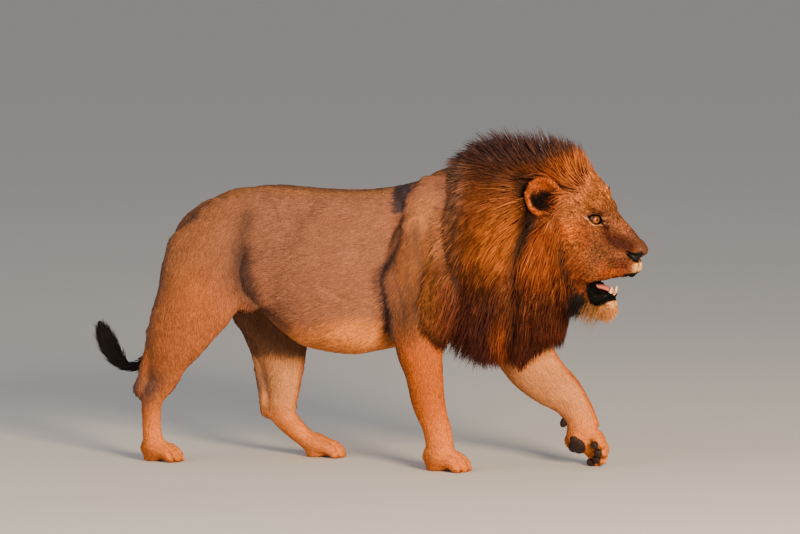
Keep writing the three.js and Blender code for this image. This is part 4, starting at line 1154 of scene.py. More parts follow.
def makeEye(name, hand):
    # rings of points round the gaze; the cornea stands out over the iris
    angle = np.radians(np.concatenate([np.linspace(0, 50, 26), np.linspace(55, 180, 26)]))[:, None]
    around = np.linspace(0, 2 * np.pi, 48, endpoint=False)[None, :]
    cover = np.cos(np.clip(angle / np.radians(eye["edge"]), 0, 1) * np.pi / 2)
    radius = eyeRadius + eye["bulge"] * cover + 0 * around
    x, out = radius * np.cos(angle), radius * np.sin(angle)
    y, z = out * np.cos(around), out * np.sin(around)
    g = np.radians(face["gaze"]) * hand
    q = np.stack([x * np.cos(g) - y * np.sin(g), x * np.sin(g) + y * np.cos(g) + hand * eyeSide, z], -1)
    q = q[1:-1].reshape(-1, 3)
    ends = np.stack([np.cos(g) * np.ones(2), np.sin(g) * np.ones(2), np.zeros(2)], 1)
    ends = ends * np.array([[eyeRadius + eye["bulge"]], [-eyeRadius]]) + np.array([0, hand * eyeSide, 0])
    deg = np.degrees(np.repeat(angle[1:-1, 0], 48))
    spoke = lattice(np.stack([np.tile(around[0] * 30, 50), deg * 0.6, 0 * deg], 1), 4, 9)
    iris = linear("#96521a") * (0.95 + 0.25 * spoke)[:, None]
    iris *= (1 - 0.6 * rise(deg, 32, 45))[:, None]
    iris *= (1 - 0.55 * rise(q[:, 2], -1, 9))[:, None]  # in the upper lid's shade
    colour = np.where((deg < eye["iris"])[:, None], iris, linear("#2a1a10"))
    colour = np.where((deg > eye["edge"])[:, None], linear("#4a3020"), colour)
    colour = np.where((deg < eye["pupil"])[:, None], linear("#040303"), colour)
    piece = closedRings(name, q.reshape(50, 48, 3), ends)
    paint(piece, np.vstack([colour, [linear("#040303"), linear("#4a3020")]]), "eye")
    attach(piece, "root")
    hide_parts(name)


def closedRings(name, rings, ends, head=True):
    # a closed surface from rings of points with a pole at each end
    n, m = rings.shape[:2]
    p = np.vstack([rings.reshape(-1, 3), ends])
    i, j = np.meshgrid(np.arange(n - 1), np.arange(m), indexing="ij")
    a, b = i * m + j, i * m + (j + 1) % m
    tri = np.vstack([np.stack([a, a + m, b], -1).reshape(-1, 3),
                     np.stack([b, a + m, b + m], -1).reshape(-1, 3)])
    j = np.arange(m)
    tri = np.vstack([tri, np.stack([0 * j + n * m, j, (j + 1) % m], 1),
                     np.stack([0 * j + n * m + 1, (n - 1) * m + (j + 1) % m, (n - 1) * m + j], 1)])
    middle = p.mean(0)
    n0 = np.cross(p[tri[:, 1]] - p[tri[:, 0]], p[tri[:, 2]] - p[tri[:, 0]])
    if (n0 * (p[tri].mean(1) - middle)).sum() < 0:
        tri = tri[:, ::-1]
    return putMesh(name, fromHead(p) if head else p, tri)


def sweep(line, radii, sides=16, flat=1.0):
    # rings round a line, wider than high by `flat`
    line = np.array(line, float)
    d = unit(np.gradient(line, axis=0))
    w = unit(np.array([0, 1.0, 0]) - d * d[:, 1:2])
    n = np.cross(d, w)
    a = np.linspace(0, 2 * np.pi, sides, endpoint=False)[None, :, None]
    r = np.array(radii, float)[:, None, None]
    return line[:, None] + r * (flat * np.cos(a) * w[:, None] + np.sin(a) * n[:, None])


tongueShape = dict(root=(-16, -238), length=106, arch=12, droop=10, half=8.5, flat=2.35, groove=2.2)
canine = dict(root=(76, 21, -254), height=36, lean=10, half=7.2)


def makeMouthPieces():
    # the tongue: broad and low, its tip curled down over the lower lip, with a groove along its middle
    v = tongueShape
    s = np.linspace(0, 1, 22)
    height = v["root"][1] + v["arch"] * np.sin(s * 2.4) - v["droop"] * s**3
    line = np.stack([v["root"][0] + v["length"] * s, 0 * s, height], 1)
    rings = sweep(line, v["half"] * np.sqrt(np.clip(1 - (2 * s - 1.02) ** 4, 0.02, 1)), 24, v["flat"])
    rings[..., 2] -= v["groove"] * np.exp(-(rings[..., 1] / 4) ** 2) * (rings[..., 2] > line[:, None, 2])
    tongue = closedRings("tongue", rings, [line[0] + [-2, 0, 0], line[-1] + [2.5, 0, -1]])
    paint(tongue, linear("#c8705e"), "tongue")
    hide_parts("tongue")
    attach(tongue, "root")
    x, y, z = canine["root"]
    for name, hand in (("canine_right", -1), ("canine_left", 1)):
        t = np.linspace(0, 1, 16)
        line = np.stack([x + canine["lean"] * np.sin(t * 1.5) - 2 * t, hand * (y + 1.5 * t),
                         z + canine["height"] * t], 1)
        rings = sweep(line, canine["half"] * (1 - t**1.7) ** 0.75 + 0.5, 16)
        tooth = closedRings(name, rings, [line[0] - [0, 0, 2], line[-1] + [0, 0, 0.8]])
        paint(tooth, linear("#d3b888"), "tooth")
        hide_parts(name)
        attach(tooth, "root")


makeEye("eye_right", -1)
makeEye("eye_left", 1)
makeMouthPieces()
print("eyes, tongue and teeth done")


# hair
axes = dict(  # each part's own unwrap: the ends of its axis, and its tile (left, bottom, width, height)
    trunk=((-760, 0, 760), (620, -40, 860), (0, 0, 1, 0.46)),
    foreRight=((196, -130, 0), (146, -62, 965), (0, 0.74, 0.25, 0.25)),
    foreLeft=((640, 85, 30), (150, 100, 900), (0.25, 0.74, 0.25, 0.25)),
    hindRight=((-812, -131, 0), (-620, -100, 840), (0.5, 0.74, 0.25, 0.25)),
    hindLeft=((-305, 122, 0), (-600, 100, 840), (0.75, 0.74, 0.25, 0.25)),
    tail=((-1090, 0, 300), (-680, 0, 850), (0.5, 0.61, 0.5, 0.12)),
    head=((900, -95, 770), (450, -30, 880), (0, 0.47, 0.5, 0.26)),
    jaw=((900, -95, 770), (450, -30, 880), (0, 0.47, 0.5, 0.26)),
    ear=((500, -60, 900), (560, -60, 960), (0.5, 0.47, 0.5, 0.12)))


def unwrap(p, part):
    # across: the angle round the part's axis; up: the place along it
    out = np.zeros((len(p), 2))
    for i, name in enumerate(axes):
        a, b, tile = axes[name]
        a, b = np.array(a, float), np.array(b, float)
        d = (b - a) / np.linalg.norm(b - a)
        w = unit(np.array([0, 1.0, 0]) - d * d[1])
        n = np.cross(d, w)
        m = part == i
        r = p[m] - a
        out[m, 0] = tile[0] + tile[2] * (0.02 + 0.96 * (0.5 + np.arctan2(r @ w, r @ n) / (2 * np.pi)))
        out[m, 1] = tile[1] + tile[3] * np.clip(r @ d / np.linalg.norm(b - a), 0.02, 0.98)
    return out


def scatter(p, tri, weight, count, rng):
    # roots spread over the triangles by area and weight: which triangle, and how much of each corner
    size = norm(np.cross(p[tri[:, 1]] - p[tri[:, 0]], p[tri[:, 2]] - p[tri[:, 0]]))
    chance = size * weight[tri].mean(1)
    which = np.searchsorted(np.cumsum(chance) / chance.sum(), np.sort(rng.random(count)))
    a, b = rng.random((2, count))
    a, b = np.where(a + b > 1, 1 - a, a), np.where(a + b > 1, 1 - b, b)
    return which, np.stack([1 - a - b, a, b], 1)


def atRoots(values, which, share):
    # the skin's values at the roots, by the shares of their triangle's corners
    return (values[skinTri[which]] * share[:, :, None]).sum(1)


def putHair(name, p, faces, colour, uv, material, normal=None, most=195000):
    # one piece of many closed tufts (p: tuft, point, place), cut into pieces below the most triangles;
    # flat tufts are shaded with the skin's normals, so that they read as one coat
    count, points = p.shape[:2]
    each = len(faces)
    pieces = -(-count * each // most)
    for number, part in enumerate(np.array_split(np.arange(count), pieces)):
        q = p[part].reshape(-1, 3)
        tri = (faces[None] + points * np.arange(len(part))[:, None, None]).reshape(-1, 3)
        piece = putMesh(name if pieces == 1 else name + str(number + 1), q, tri)
        paint(piece, np.clip(colour[part].reshape(-1, 3), 0.001, 0.95), material)
        layer = piece.data.uv_layers.new(name="OFBake")
        layer.data.foreach_set("uv", uv[part].reshape(-1, 2)[tri.ravel()].astype(np.float32).ravel())
        if normal is not None:
            piece.data.normals_split_custom_set_from_vertices(normal[part].reshape(-1, 3).tolist())
        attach(piece, "root")
    print(name + ":", count, "tufts,", count * each, "triangles")


patch = 0.0015  # half the width of a tuft's patch in the unwrap
shortCoat = dict(
    seed=11, count=165000, width=0.17, lift=0.085, stray=0.13, shade=0.11, grizzle=0.42, grain=0.14,
    roundness=0.5, sway=0.2)


def makeShortCoat():
    # a short tuft is a thin closed wedge: two root points, a ridge and a tip
    s = shortCoat
    rng = np.random.default_rng(s["seed"])
    weight = (1 - data["mane"]) * (1 - data["bare"]) / data["length"] ** 1.5
    weight = np.where(data["bare"] > 0.5, 0, weight)[:, 0]
    which, share = scatter(skinPoints, skinTri, weight, s["count"], rng)
    p = atRoots(skinPoints, which, share)
    n, lie, length = (atRoots(data[key], which, share) for key in ("normal", "lie", "length"))
    count = len(p)
    n = unit(n)
    sway = lattice(p, 45, 5)[:, None] * 0.3 + s["stray"] * rng.normal(size=(count, 1))
    lie = unit(unit(lie) + sway * np.cross(n, unit(lie)))
    across = np.cross(n, lie)
    length = length * rng.uniform(0.7, 1.25, (count, 1))
    half = length * s["width"] / 2 * rng.uniform(0.8, 1.2, (count, 1))
    lift = s["lift"] * rng.uniform(0.6, 1.5, (count, 1)) * length
    root = p - n * 1.0
    ridge = p + lie * length * 0.35 + n * (0.7 * half + 0.45 * lift)
    tip = p + lie * length + n * lift
    points = np.stack([root + across * half, root - across * half, ridge, tip], 1)
    points[..., 2] = np.maximum(points[..., 2], 0.4)  # the soles' hair stops at the floor
    shade = s["shade"] + (s["grizzle"] - s["shade"]) * atRoots(data["head"], which, share)
    grain = s["grain"] * (1 + 3.4 * atRoots(data["head"], which, share)) * lattice(p, 6, 41)[:, None]
    colour = atRoots(data["colour"], which, share) * np.exp(shade * rng.normal(size=(count, 1)) + grain)
    colour = colour[:, None] * np.array([0.93, 0.93, 1.0, 1.06])[None, :, None]
    part = np.argmax(atRoots(data["part"], which, share), 1)
    uv = unwrap(p, part)[:, None] + patch * np.array([[-1, -1], [1, -1], [0, -0.2], [0, 1]])[None]
    faces = np.array([[0, 3, 1], [0, 2, 3], [1, 3, 2], [0, 1, 2]])
    bend = s["roundness"] * np.array([1.0, -1.0, 0, 0])[None, :, None] * across[:, None]
    shading = unit(n[:, None] + bend + s["sway"] * rng.normal(size=(count, 1, 1)) * lie[:, None])
    groups = dict(coatTrunk=[0], coatForelegs=[1, 2], coatHindlegs=[3, 4, 5], coatHead=[6, 7, 8])
    for name, members in groups.items():
        m = np.isin(part, members)
        putHair(name, points[m], faces, colour[m], uv[m], "faceFur" if name == "coatHead" else "shortFur",
                shading[m])


makeShortCoat()


# locks: long closed three-sided tapers along a path
def lockFaces(k):
    # rings of three points at each place of the path but the last, which is the tip
    tri = [[0, 2, 1]]
    for ring in range(k - 2):
        a = 3 * ring
        for i in range(3):
            j = (i + 1) % 3
            tri += [[a + i, a + j, a + 3 + i], [a + j, a + 3 + j, a + 3 + i]]
    a = 3 * (k - 2)
    tri += [[a + i, a + (i + 1) % 3, a + 3] for i in range(3)]
    return np.array(tri)


def lockPoints(path, up, half, shape, flat=0.6):
    # path: lock, place, xyz; the ridge points along `up`
    d = unit(np.gradient(path, axis=1))
    w = unit(np.cross(up, d))
    n = np.cross(d, w)
    r = (half[:, None] * np.array(shape)[None, :])[:, :-1, None]
    rings = [path[:, :-1] + r * (np.cos(a) * w[:, :-1] + flat * np.sin(a) * n[:, :-1])
             for a in np.radians([90, 210, 330])]
    rings = np.stack(rings, 2)
    return np.concatenate([rings.reshape(len(path), -1, 3), path[:, -1:]], 1)


def lockUv(at, k):
    # each lock takes one small patch of the unwrap
    side = np.concatenate([np.tile([0, -1.0, 1.0], k - 1), [0]])
    along = np.concatenate([np.repeat(np.linspace(-1, 0.7, k - 1), 3) + np.tile([0.15, 0, 0], k - 1), [1]])
    return at[:, None] + patch * np.stack([side, along], 1)[None]


def ringColours(colour):
    # colour per place of the path to colour per point
    return np.concatenate([np.repeat(colour[:, :-1], 3, axis=1), colour[:, -1:]], 1)


# the valley's brown and the near black are painted shade and shadow in the parting; the near black also
# colours the black hair behind the mouth; streak is lighter hair, partly painted highlight
maneColours = dict(
    mid="#713812", orange="#bc6417", crest="#442a25", crestFront="#843504", low="#491f16",
    chest="#a04a12", rear="#7a5644", partingShade="#522a17", ruff="#843b08", ruffLow="#4f200c",
    foreheadHair="#b15f1c", mantle="#4a2614", blackHairAndShadow="#0e0804", streak="#c8782c")
coatColours.update({name: linear(value) for name, value in maneColours.items()})
mane = dict(seed=5, count=25500, steps=5, half=(1.3, 2.9), shape=(0.7, 1.0, 1.0, 0.75, 0.45, 0),
            source=(690, -68, 880), clump=0.36, wave=6.0, stray=0.13, shade=0.22)


def maneColour(p):
    # a brown ground, then each region's colour by place: side, crest, chest, ruff, and painted shade and
    # shadow in the valley
    x, y, z = p.T
    side = np.abs(y + 20)
    c = np.tile(coatColours["mid"], (len(p), 1))
    c = tint(c, "orange", spot(p, (410, 0, 770), (120, 1000, 130), 0.9) * 0.9)
    c = tint(c, "rear", rise(-x, -300, -215) * rise(z, 560, 700) * 0.75 * rise(lattice(p, 14, 21), -0.6, 0.5))
    c = tint(c, "mantle", rise(z, 930, 1010) * rise(-x, -470, -380) * rise(x, 200, 300))
    c = tint(c, "rear", rise(-x, -280, -215) * rise(z, 800, 880) * rise(lattice(p, 14, 22), -0.7, 0.3))
    c = tint(c, "low", rise(-z, -720, -540) * rise(-x, -470, -380) * 0.95)
    c = tint(c, "mid", rise(-x, -270, -190) * rise(z, 400, 480) * fall(z, 700, 800) * 0.6)
    c = tint(c, "shoulder", rise(-x, -200, -150) * rise(z, 470, 540) * fall(z, 700, 800) * 0.8)
    c = tint(c, "shoulderTop", rise(-x, -236, -172) * rise(z, 670, 760) * fall(z, 840, 890) * 0.7)
    c = tint(c, "chest", rise(-z, -560, -450) * rise(x, 340, 430))
    ruff = rise(x - 0.22 * (z - 726), 456, 486)
    c = tint(c, "ruff", ruff * 0.9)
    c = tint(c, "ruffLow", ruff * rise(-z, -690, -560))
    c = tint(c, "crestFront", ruff * rise(z, 940, 1000) * 0.8)
    c = tint(c, "foreheadHair", rise(x, 510, 640) * rise(z, 930, 990) * 0.9)
    c = tint(c, "crest", rise(z - 0.3 * np.maximum(x - 500, 0), 1020, 1070) * 0.95)
    # painted shade along the parting between the ruff and the neck's mane
    c = tint(c, "partingShade", maneValley(p) * 0.85 * rise(side, 60, 100))
    # a near-black painted shadow deep in the parting behind the ear
    partingShade = [(432, 1020), (499, 999), (512, 880), (494, 800), (472, 735), (452, 735), (458, 800),
              (464, 880), (436, 948)]
    shade = drawn(x, z, partingShade, 38)
    return tint(c, "blackHairAndShadow", shade * rise(side, 60, 100) * 0.92)


def maneFlow(p, n):
    # away from the face, pulled down more the lower it hangs
    source = np.array(mane["source"], float)
    d = unit(p - source)
    ruff = rise(p[:, 0] - 0.22 * (p[:, 2] - 726), 456, 500)
    pull = 0.75 - 0.65 * rise(p[:, 2], 900, 1010) + 0.7 * rise(-p[:, 2], -760, -560)
    d[:, 2] -= pull + 0.55 * ruff * rise(-p[:, 2], -960, -860)
    d[:, 0] -= 0.35 * rise(p[:, 2], 760, 860) - 0.1 * rise(-p[:, 2], -700, -560)
    stand = rise(p[:, 2], 985, 1060) * rise(p[:, 0], 240, 380)
    free = np.maximum(freeEdge(n), stand)[:, None]
    d[:, 2] += 0.95 * stand
    return unit(d - n * (d * n).sum(1)[:, None] * (1 - free))


def freeEdge(n):
    # 1 where the mane ends, underneath and at its rear: there the hair goes on past it
    return np.maximum(rise(-n[:, 2], 0.15, 0.5), rise(-n[:, 0], 0.45, 0.8))


def growPaths(p, length, depth, steps, rng):
    # marches along the flow on the coat's outline, from the root's own depth to `depth`
    side = rng.normal(size=len(p))
    f, n = slopeOf(envelope, p, 2.0)
    n = unit(n)
    first, path = f, [p]
    for k in range(1, steps + 1):
        d = maneFlow(p, n)
        d = unit(d + mane["stray"] * side[:, None] * np.cross(n, d))
        want = first + (depth - first) * (1 - (1 - k / steps) ** 1.6) + 12 * rise(maneField(p), 0, 20)
        step = length / steps
        rising = np.clip((want - f) * (1 - freeEdge(n)), -0.45 * step, 0.5 * step)
        p = p + unit(d * step[:, None] + n * rising[:, None]) * step[:, None]
        path.append(p)
        f, n = slopeOf(envelope, p, 2.0)
        n = unit(n)
    return np.stack(path, 1)


def gather(path, tipIndex, amount, power=1.6):
    # draws each lock towards the lock that leads its clump, more towards the tip
    k = path.shape[1]
    t = (np.linspace(0, 1, k) ** power)[None, :, None] * amount
    return path + t * (path[tipIndex] - path)


def nearest(a, b):
    # for each point of a the index of the nearest of b
    out = np.zeros(len(a), int)
    for part in np.array_split(np.arange(len(a)), max(len(a) * len(b) // 4000000, 1)):
        out[part] = ((a[part, None] - b[None]) ** 2).sum(2).argmin(1)
    return out


def makeMane():
    # roots where mane grows, marched along its flow, gathered in clumps and waved
    s = mane
    rng = np.random.default_rng(s["seed"])
    weight = rise(data["mane"][:, 0], 0.25, 0.6)
    which, share = scatter(skinPoints, skinTri, weight, s["count"], rng)
    p, n = atRoots(skinPoints, which, share), atRoots(data["normal"], which, share)
    q = toHead(p)
    headish = atRoots(data["head"], which, share)[:, 0] > 0.5
    behind = np.where(headish, hairline(q), 200)
    full = 185 - 60 * rise(p[:, 2], 960, 1030) - 20 * rise(p[:, 0], 520, 600)
    length = np.minimum(34 + 1.5 * np.clip(behind, 0, 200), full) * rng.uniform(0.7, 1.2, len(p))
    bottom = np.interp(p[:, 0], [150, 220, 300, 420, 500], [468, 425, 365, 370, 430])
    bottom += rng.normal(0, 14, len(p))
    length = np.minimum(length, np.maximum((p[:, 2] - bottom) * 1.12, 45))
    rear = maneRear(p[:, 2]) + rng.normal(0, 24, len(p))
    length = np.minimum(length, np.maximum((p[:, 0] - rear) * 1.4, rng.uniform(36, 84, len(p))))
    stand = rise(p[:, 2], 960, 1040) * rise(p[:, 0], 250, 340)
    depth = -rng.uniform(0, 13, len(p)) + 30 * stand * rng.random(len(p))
    depth = np.maximum(depth, -5 - 60 * (length > 90))
    path = growPaths(p - n * 2.0, length, depth, s["steps"], rng)
    leaders = np.arange(0, len(p), 11)
    mid = s["steps"] // 2
    lead = leaders[nearest(path[:, mid], path[leaders, mid])]
    path = gather(path, lead, s["clump"] * rng.uniform(0.3, 1.3, (len(p), 1, 1)))
    t = np.linspace(0, 1, s["steps"] + 1)
    phase, swing = rng.uniform(0, 6.3, (len(p), 1)), rng.uniform(0.3, 1.0, (len(p), 1)) * s["wave"]
    d = unit(path[:, -1] - path[:, 0])
    across = np.cross(n, d)
    wave = swing * t * np.sin(phase + 4.0 * t) * np.minimum(length / 150, 1)[:, None]
    path = path + wave[..., None] * across[:, None]
    ears = np.min([earField(toHead(path[:, k])) for k in range(1, s["steps"] + 1)], axis=0)
    eyeClear = np.max(toHead(path.reshape(-1, 3)).reshape(path.shape)[..., 0], axis=1) < 60
    keep = (ears > 4) & eyeClear
    path, n, which, share, length = path[keep], n[keep], which[keep], share[keep], length[keep]
    count, k = path.shape[:2]
    colour = maneColour(path.reshape(-1, 3)).reshape(count, k, 3)
    short = (fall(length, 45, 100) * headish[keep])[:, None, None]
    colour += (headColour(q[keep], mirrored(q[keep]), np.zeros(count))[:, None] - colour) * short
    # about one lock in seven made lighter and golden: partly lighter hair, partly painted highlight of sunlit
    # strands; not on dark locks
    streak = rng.random(count)
    rootZ = path[:, 0, 2]
    bright = 0.3 * (streak > 0.86) * rise(rootZ, 560, 700) * (1 - 0.6 * rise(rootZ, 930, 1000))
    bright *= rise(colour[:, 2, 0], 0.05, 0.16)
    colour += (coatColours["streak"] - colour) * bright[:, None, None]
    colour *= np.exp(s["shade"] * rng.normal(size=count) + 0.22 * lattice(path[:, 2], 22, 8))[:, None, None]
    # each lock darker towards its root; deep in the mane the roots are painted near black as the shade among
    # the locks, shallow and short locks much less
    shallow = np.maximum(rise(maneField(path[:, 0]), -34, -4), short[:, 0, 0])[:, None]
    tone = np.array([[0.25, 0.55, 0.92, 1.05, 1.15, 1.2]])
    colour = colour * (tone + (np.linspace(0.8, 1.1, k) - tone) * shallow)[..., None]
    half = rng.uniform(*s["half"], count) * np.where(length < 80, 0.6, 1.0)
    points = lockPoints(path, n[:, None] + 0 * path, half, s["shape"])
    part = np.argmax(atRoots(data["part"], which, share), 1)
    uv = lockUv(unwrap(atRoots(skinPoints, which, share), part), k)
    putHair("mane", points, lockFaces(k), ringColours(colour), uv, "maneHair")


makeMane()
print("mane done")


# beard, hair of the ears, whiskers, tail tuft and pads
def strands(name, root, up, out, length, half, colour, rng, droop=(0, 0, -0.25), wave=0.08, steps=5):
    # short locks that leave the root along `out` and droop; length, half width and colour are per lock
    count = len(root)
    t = np.linspace(0, 1, steps + 1)[None, :, None]
    swing = wave * rng.normal(size=(count, 1, 3)) * t * np.sin(2.5 * t + rng.uniform(0, 6, (count, 1, 1)))
    way = out[:, None] * t + np.array(droop) * t * t + swing
    path = root[:, None] + np.reshape(length, (-1, 1, 1)) * way
    shape = np.concatenate([[0.8], np.linspace(1, 0.25, steps - 1), [0]])
    points = lockPoints(path, up[:, None] + 0 * path, half * np.ones(count), shape)
    tone = np.linspace(0.75, 1.15, steps + 1)[None, :, None]
    colour = np.broadcast_to(colour, (count, 3))[:, None] * tone
    colour = colour * np.exp(0.15 * rng.normal(size=(count, 1, 1)))
    uv = lockUv(unwrap(root, np.full(count, 6)), steps + 1)
    putHair(name, points, lockFaces(steps + 1), ringColours(colour), uv, "maneHair")


def headWay(v):
    # a direction given in the head's frame
    return fromHead([v])[0] - headAt


def rootsWhere(chance, count, rng):
    # roots and normals, scattered by chance
    which, share = scatter(skinPoints, skinTri, chance, count, rng)
    return atRoots(skinPoints, which, share), unit(atRoots(data["normal"], which, share))


beards = (  # name, middle, half sizes, softness, count, lift, lean back, stray, length, half width, colour
    # the white beard of the chin
    ("beard", (82, 0, -299), (42, 42, 30), 0.5, 1500, 0.35, 0.35, 0.3, (10, 32), 1.0, coatColours["chin"]),
    # black hair behind the corner of the mouth
    ("throatHair", (-16, 60, -272), (32, 48, 36), 0.7, 1100, 0.3, 0.5, 0.2, (25, 75), 1.4,
     coatColours["blackHairAndShadow"]),
    # a thin pale fringe below it
    ("fringe", (22, 34, -292), (34, 40, 26), 0.5, 350, 0.3, 0.4, 0.15, (45, 80), 0.8,
     coatColours["chin"] * 0.4))


def makeFaceHair():
    # beard, throat, fringe, ears and whiskers
    rng = np.random.default_rng(23)
    q = toHead(skinPoints)
    m = mirrored(q)
    onHead = data["head"][:, 0] > 0.5
    free = onHead * (1 - data["bare"][:, 0])
    for name, at, size, soft, count, lift, back, stray, length, half, colour in beards:
        root, n = rootsWhere(free * spot(m, at, size, soft), count, rng)
        out = unit(n * lift + headWay([-back, 0, -1.0]) + stray * rng.normal(size=(count, 3)))
        if name == "beard":
            colour = colour * rng.uniform(0.3, 1.0, (count, 1)) ** np.array([0.8, 1.0, 1.25])
        strands(name, root, n, out, rng.uniform(*length, count), half, colour, rng)
    # hair in the ears, and long hair over their front edge
    r, rim = toEar(m)
    ahead = np.array([1.0, 0, -0.25]) @ earTurn
    front = r @ unit(ahead * [0, 1, 1])
    inside = onHead * fall(rim, 0.6, 0.8) * rise(r[:, 0], -34, -28) * fall(r[:, 0], 26, 40)
    inside = inside * fall(r[:, 2], -20, 20)
    edge = onHead * rise(front, 24, 34) * fall(rim, 1.05, 1.25) * (np.abs(r[:, 0]) < 30)
    for name, chance, count, colour, length, lean in (
            ("earInner", inside, 700, "spots", (14, 26), (-0.25, 0.15, 0.5)),
            ("earEdge", edge, 450, "cheek", (14, 34), (-1.0, 0.2, 0.35))):
        root, n = rootsWhere(chance, count, rng)
        lean = np.array(lean)[None] * np.where(toHead(root)[:, 1:2] < 0, [1, -1, 1], [1, 1, 1])
        out = unit(0.45 * n + lean @ headTurn.T + 0.22 * rng.normal(size=(count, 3)))
        shade = coatColours[colour] * np.where(rng.random((count, 1)) < 0.35, 1.7, 0.45)
        strands(name, root, n, out, rng.uniform(*length, count), 0.9, shade, rng)
    # whiskers in rows on the pads, and a few over the eyes
    for hand, side in ((-1, "Right"), (1, "Left")):
        row, k = np.divmod(np.arange(16), 4)
        aim = np.stack([92.0 + 11 * k - 2 * row, hand * 60.0 + 0 * k, -116.0 - 10 * row], 1)
        there = np.flatnonzero(free * (q[:, 1] * hand > 14) > 0.5)
        at = there[nearest(aim * [1, 0, 1], q[there] * [1, 0, 1])]
        brow = np.array([[14 + 6 * k, hand * 48, 34] for k in range(4)], float)
        above = there[nearest(brow, q[there])]
        both = np.concatenate([at, above])
        lean = np.repeat([[-0.45, hand * 0.8, -0.25], [0.55, hand * 0.35, 0.75]], [16, 4], axis=0)
        out = unit(lean @ headTurn.T + 0.14 * rng.normal(size=(20, 3)))
        length = np.concatenate([rng.uniform(80, 125, 16), rng.uniform(40, 60, 4)])
        strands("whiskers" + side, skinPoints[both], data["normal"][both], out, length, 0.35,
                coatColours["chin"] * 0.4, rng, droop=(0, 0, -0.12), wave=0.02, steps=7)


tailTuft = dict(seed=31, count=1900, steps=7, half=(1.3, 2.4), spread=7.0, shade=0.35)


def makeTailTuft():
    # locks laid along the tuft's bent line, from inside it outwards, all drawn to its tip
    rng = np.random.default_rng(tailTuft["seed"])
    count, steps = tailTuft["count"], tailTuft["steps"]
    line = bentLine(tuftRows, 10)
    start = rng.uniform(0, 0.62, (count, 1))
    end = np.minimum(start + rng.uniform(0.28, 0.45, (count, 1)), 1.0)
    t = start + (end - start) * np.linspace(0, 1, steps + 1)[None]
    place = np.stack([np.interp(t, np.linspace(0, 1, len(line)), line[:, i]) for i in range(5)], -1)
    d = unit(np.gradient(place[..., :3], axis=1))
    w = unit(np.array([0, 1.0, 0]) - d * d[..., 1:2])
    n = np.cross(d, w)
    angle = rng.uniform(0, 2 * np.pi, (count, 1))
    share = np.sqrt(rng.uniform(0.15, 1.0, (count, 1))) * np.linspace(0.55, 1.0, steps + 1)[None]
    off = n * (np.cos(angle) * place[..., 3] * share)[..., None]
    off = off + w * (np.sin(angle) * place[..., 4] * share)[..., None]
    apart = np.linspace(0, 1, steps + 1)[None, :, None] ** 2
    spread = tailTuft["spread"] * rng.normal(size=(count, 1, 3)) * apart
    path = place[..., :3] + off + spread
    up = unit(off[:, :1] + 0 * off)
    half = rng.uniform(*tailTuft["half"], count)
    points = lockPoints(path, up, half, [0.7, 1, 1, 0.9, 0.75, 0.55, 0.3, 0])
    tone = np.exp(tailTuft["shade"] * rng.normal(size=(count, 1, 1)))
    colour = linear("#120c0a") * tone * np.ones((1, steps + 1, 1))
    uv = lockUv(unwrap(path[:, 0], np.full(count, 5)), steps + 1)
    putHair("tailTuft", points, lockFaces(steps + 1), ringColours(colour), uv, "maneHair")
    core = closedRings("tailTuftCore", sweep(line[:, :3], np.maximum(line[:, 4] * 0.62, 6), 16),
                       [line[0, :3] + [4, 0, 0], line[-1, :3] + [-1, 0, 4]], head=False)
    paint(core, linear("#0c0807"), "maneHair")
    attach(core, "root")
    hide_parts("tail_tuft")


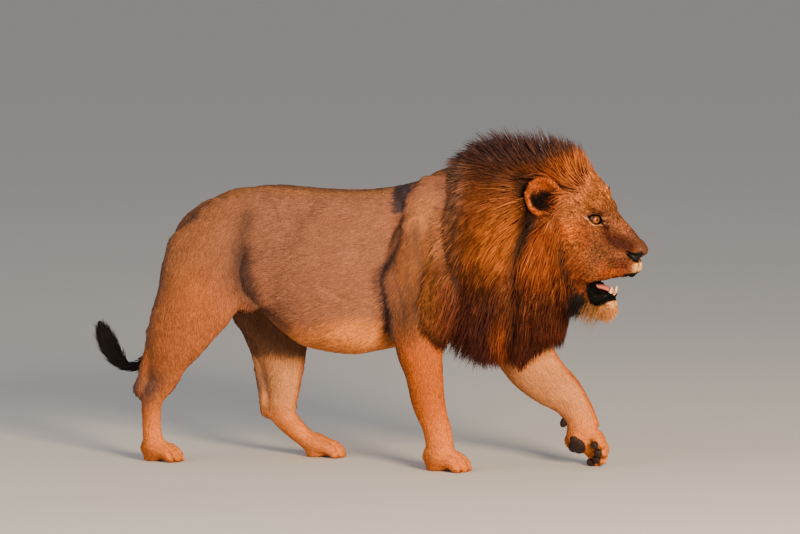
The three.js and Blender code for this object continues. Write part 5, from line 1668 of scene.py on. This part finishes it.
def makePads():
    # black pads under the raised left forepaw and behind its wrist
    paw = foreLeft["paw"]
    frameTurn, s = turn(paw["pitch"], paw["yaw"], paw["roll"]), paw["scale"]
    shapes = [((-20, 0, 9), (30, 36, 16)), ((-34, 20, 8), (18, 18, 13)), ((-34, -20, 8), (18, 18, 13))]
    shapes += [((ahead + 12, across, 7), (16, half * 0.72, 12)) for across, ahead, half in toeRow]
    balls = [(frameTurn @ (np.array(at) * s) + paw["at"], size, frameTurn) for at, size in shapes]
    balls.append((np.array([550.0, 112, 150]), (14, 13, 22), turn(-30)))  # wrist
    a = np.linspace(0, np.pi, 16)[1:-1, None]
    b = np.linspace(0, 2 * np.pi, 24, endpoint=False)[None]
    unitBall = np.stack([np.sin(a) * np.cos(b), np.sin(a) * np.sin(b), np.cos(a) + 0 * b], -1)
    for number, (at, size, spin) in enumerate(balls):
        rings = (unitBall * size) @ spin.T + at
        ends = np.array([[0, 0, size[2]], [0, 0, -size[2]]]) @ spin.T + at
        rings[..., 2], ends[:, 2] = np.maximum(rings[..., 2], 0.5), np.maximum(ends[:, 2], 0.5)
        pad = closedRings("pad" + str(number), rings, ends, head=False)
        paint(pad, coatColours["sole"], "noseLeather")
        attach(pad, "root")


makeFaceHair()
makeTailTuft()
makePads()
print("small hair, tail tuft and pads done")


# studio
studio = dict(
    key=1500, keyAt=(5.2, -6.2, 2.7), keySize=2.4, keyColour=(1.0, 0.78, 0.53), fill=160,
    fillAt=(-5, -5, 4), sky=(0.86, 0.87, 0.92), skyLevel=0.42, floor="#d6d2cb")


def makeLight(name, power, at, size, colour):
    # an area light turned to the lion's middle
    light = bpy.data.lights.new(name, "AREA")
    light.energy, light.size, light.color = power, size, colour
    lamp = bpy.data.objects.new(name, light)
    lamp.location = at
    lamp.rotation_euler = (Vector((0.1, 0, 0.6)) - lamp.location).to_track_quat("-Z", "Y").to_euler()
    bpy.context.collection.objects.link(lamp)


def makeStudio():
    # a warm key light, a cool fill, a pale sky and a plain floor
    makeLight("key", studio["key"], studio["keyAt"], studio["keySize"], studio["keyColour"])
    makeLight("fill", studio["fill"], studio["fillAt"], 5.0, (0.9, 0.93, 1.0))
    world = bpy.data.worlds.new("world")
    world.use_nodes = True
    background = world.node_tree.nodes["Background"]
    background.inputs["Color"].default_value = (*studio["sky"], 1)
    background.inputs["Strength"].default_value = studio["skyLevel"]
    bpy.context.scene.world = world
    mesh = bpy.data.meshes.new("floor")
    mesh.from_pydata([(-60, -60, 0), (60, -60, 0), (60, 60, 0), (-60, 60, 0)], [], [(0, 1, 2, 3)])
    floor = bpy.data.objects.new("floor", mesh)
    bpy.context.collection.objects.link(floor)
    mat = bpy.data.materials.new("palePlaster")  # a smooth, dull, pale studio floor
    mat.use_nodes = True
    mat.node_tree.nodes["Principled BSDF"].inputs["Base Color"].default_value = (*linear(studio["floor"]), 1)
    mat.node_tree.nodes["Principled BSDF"].inputs["Roughness"].default_value = 0.9
    mesh.materials.append(mat)


makeStudio()
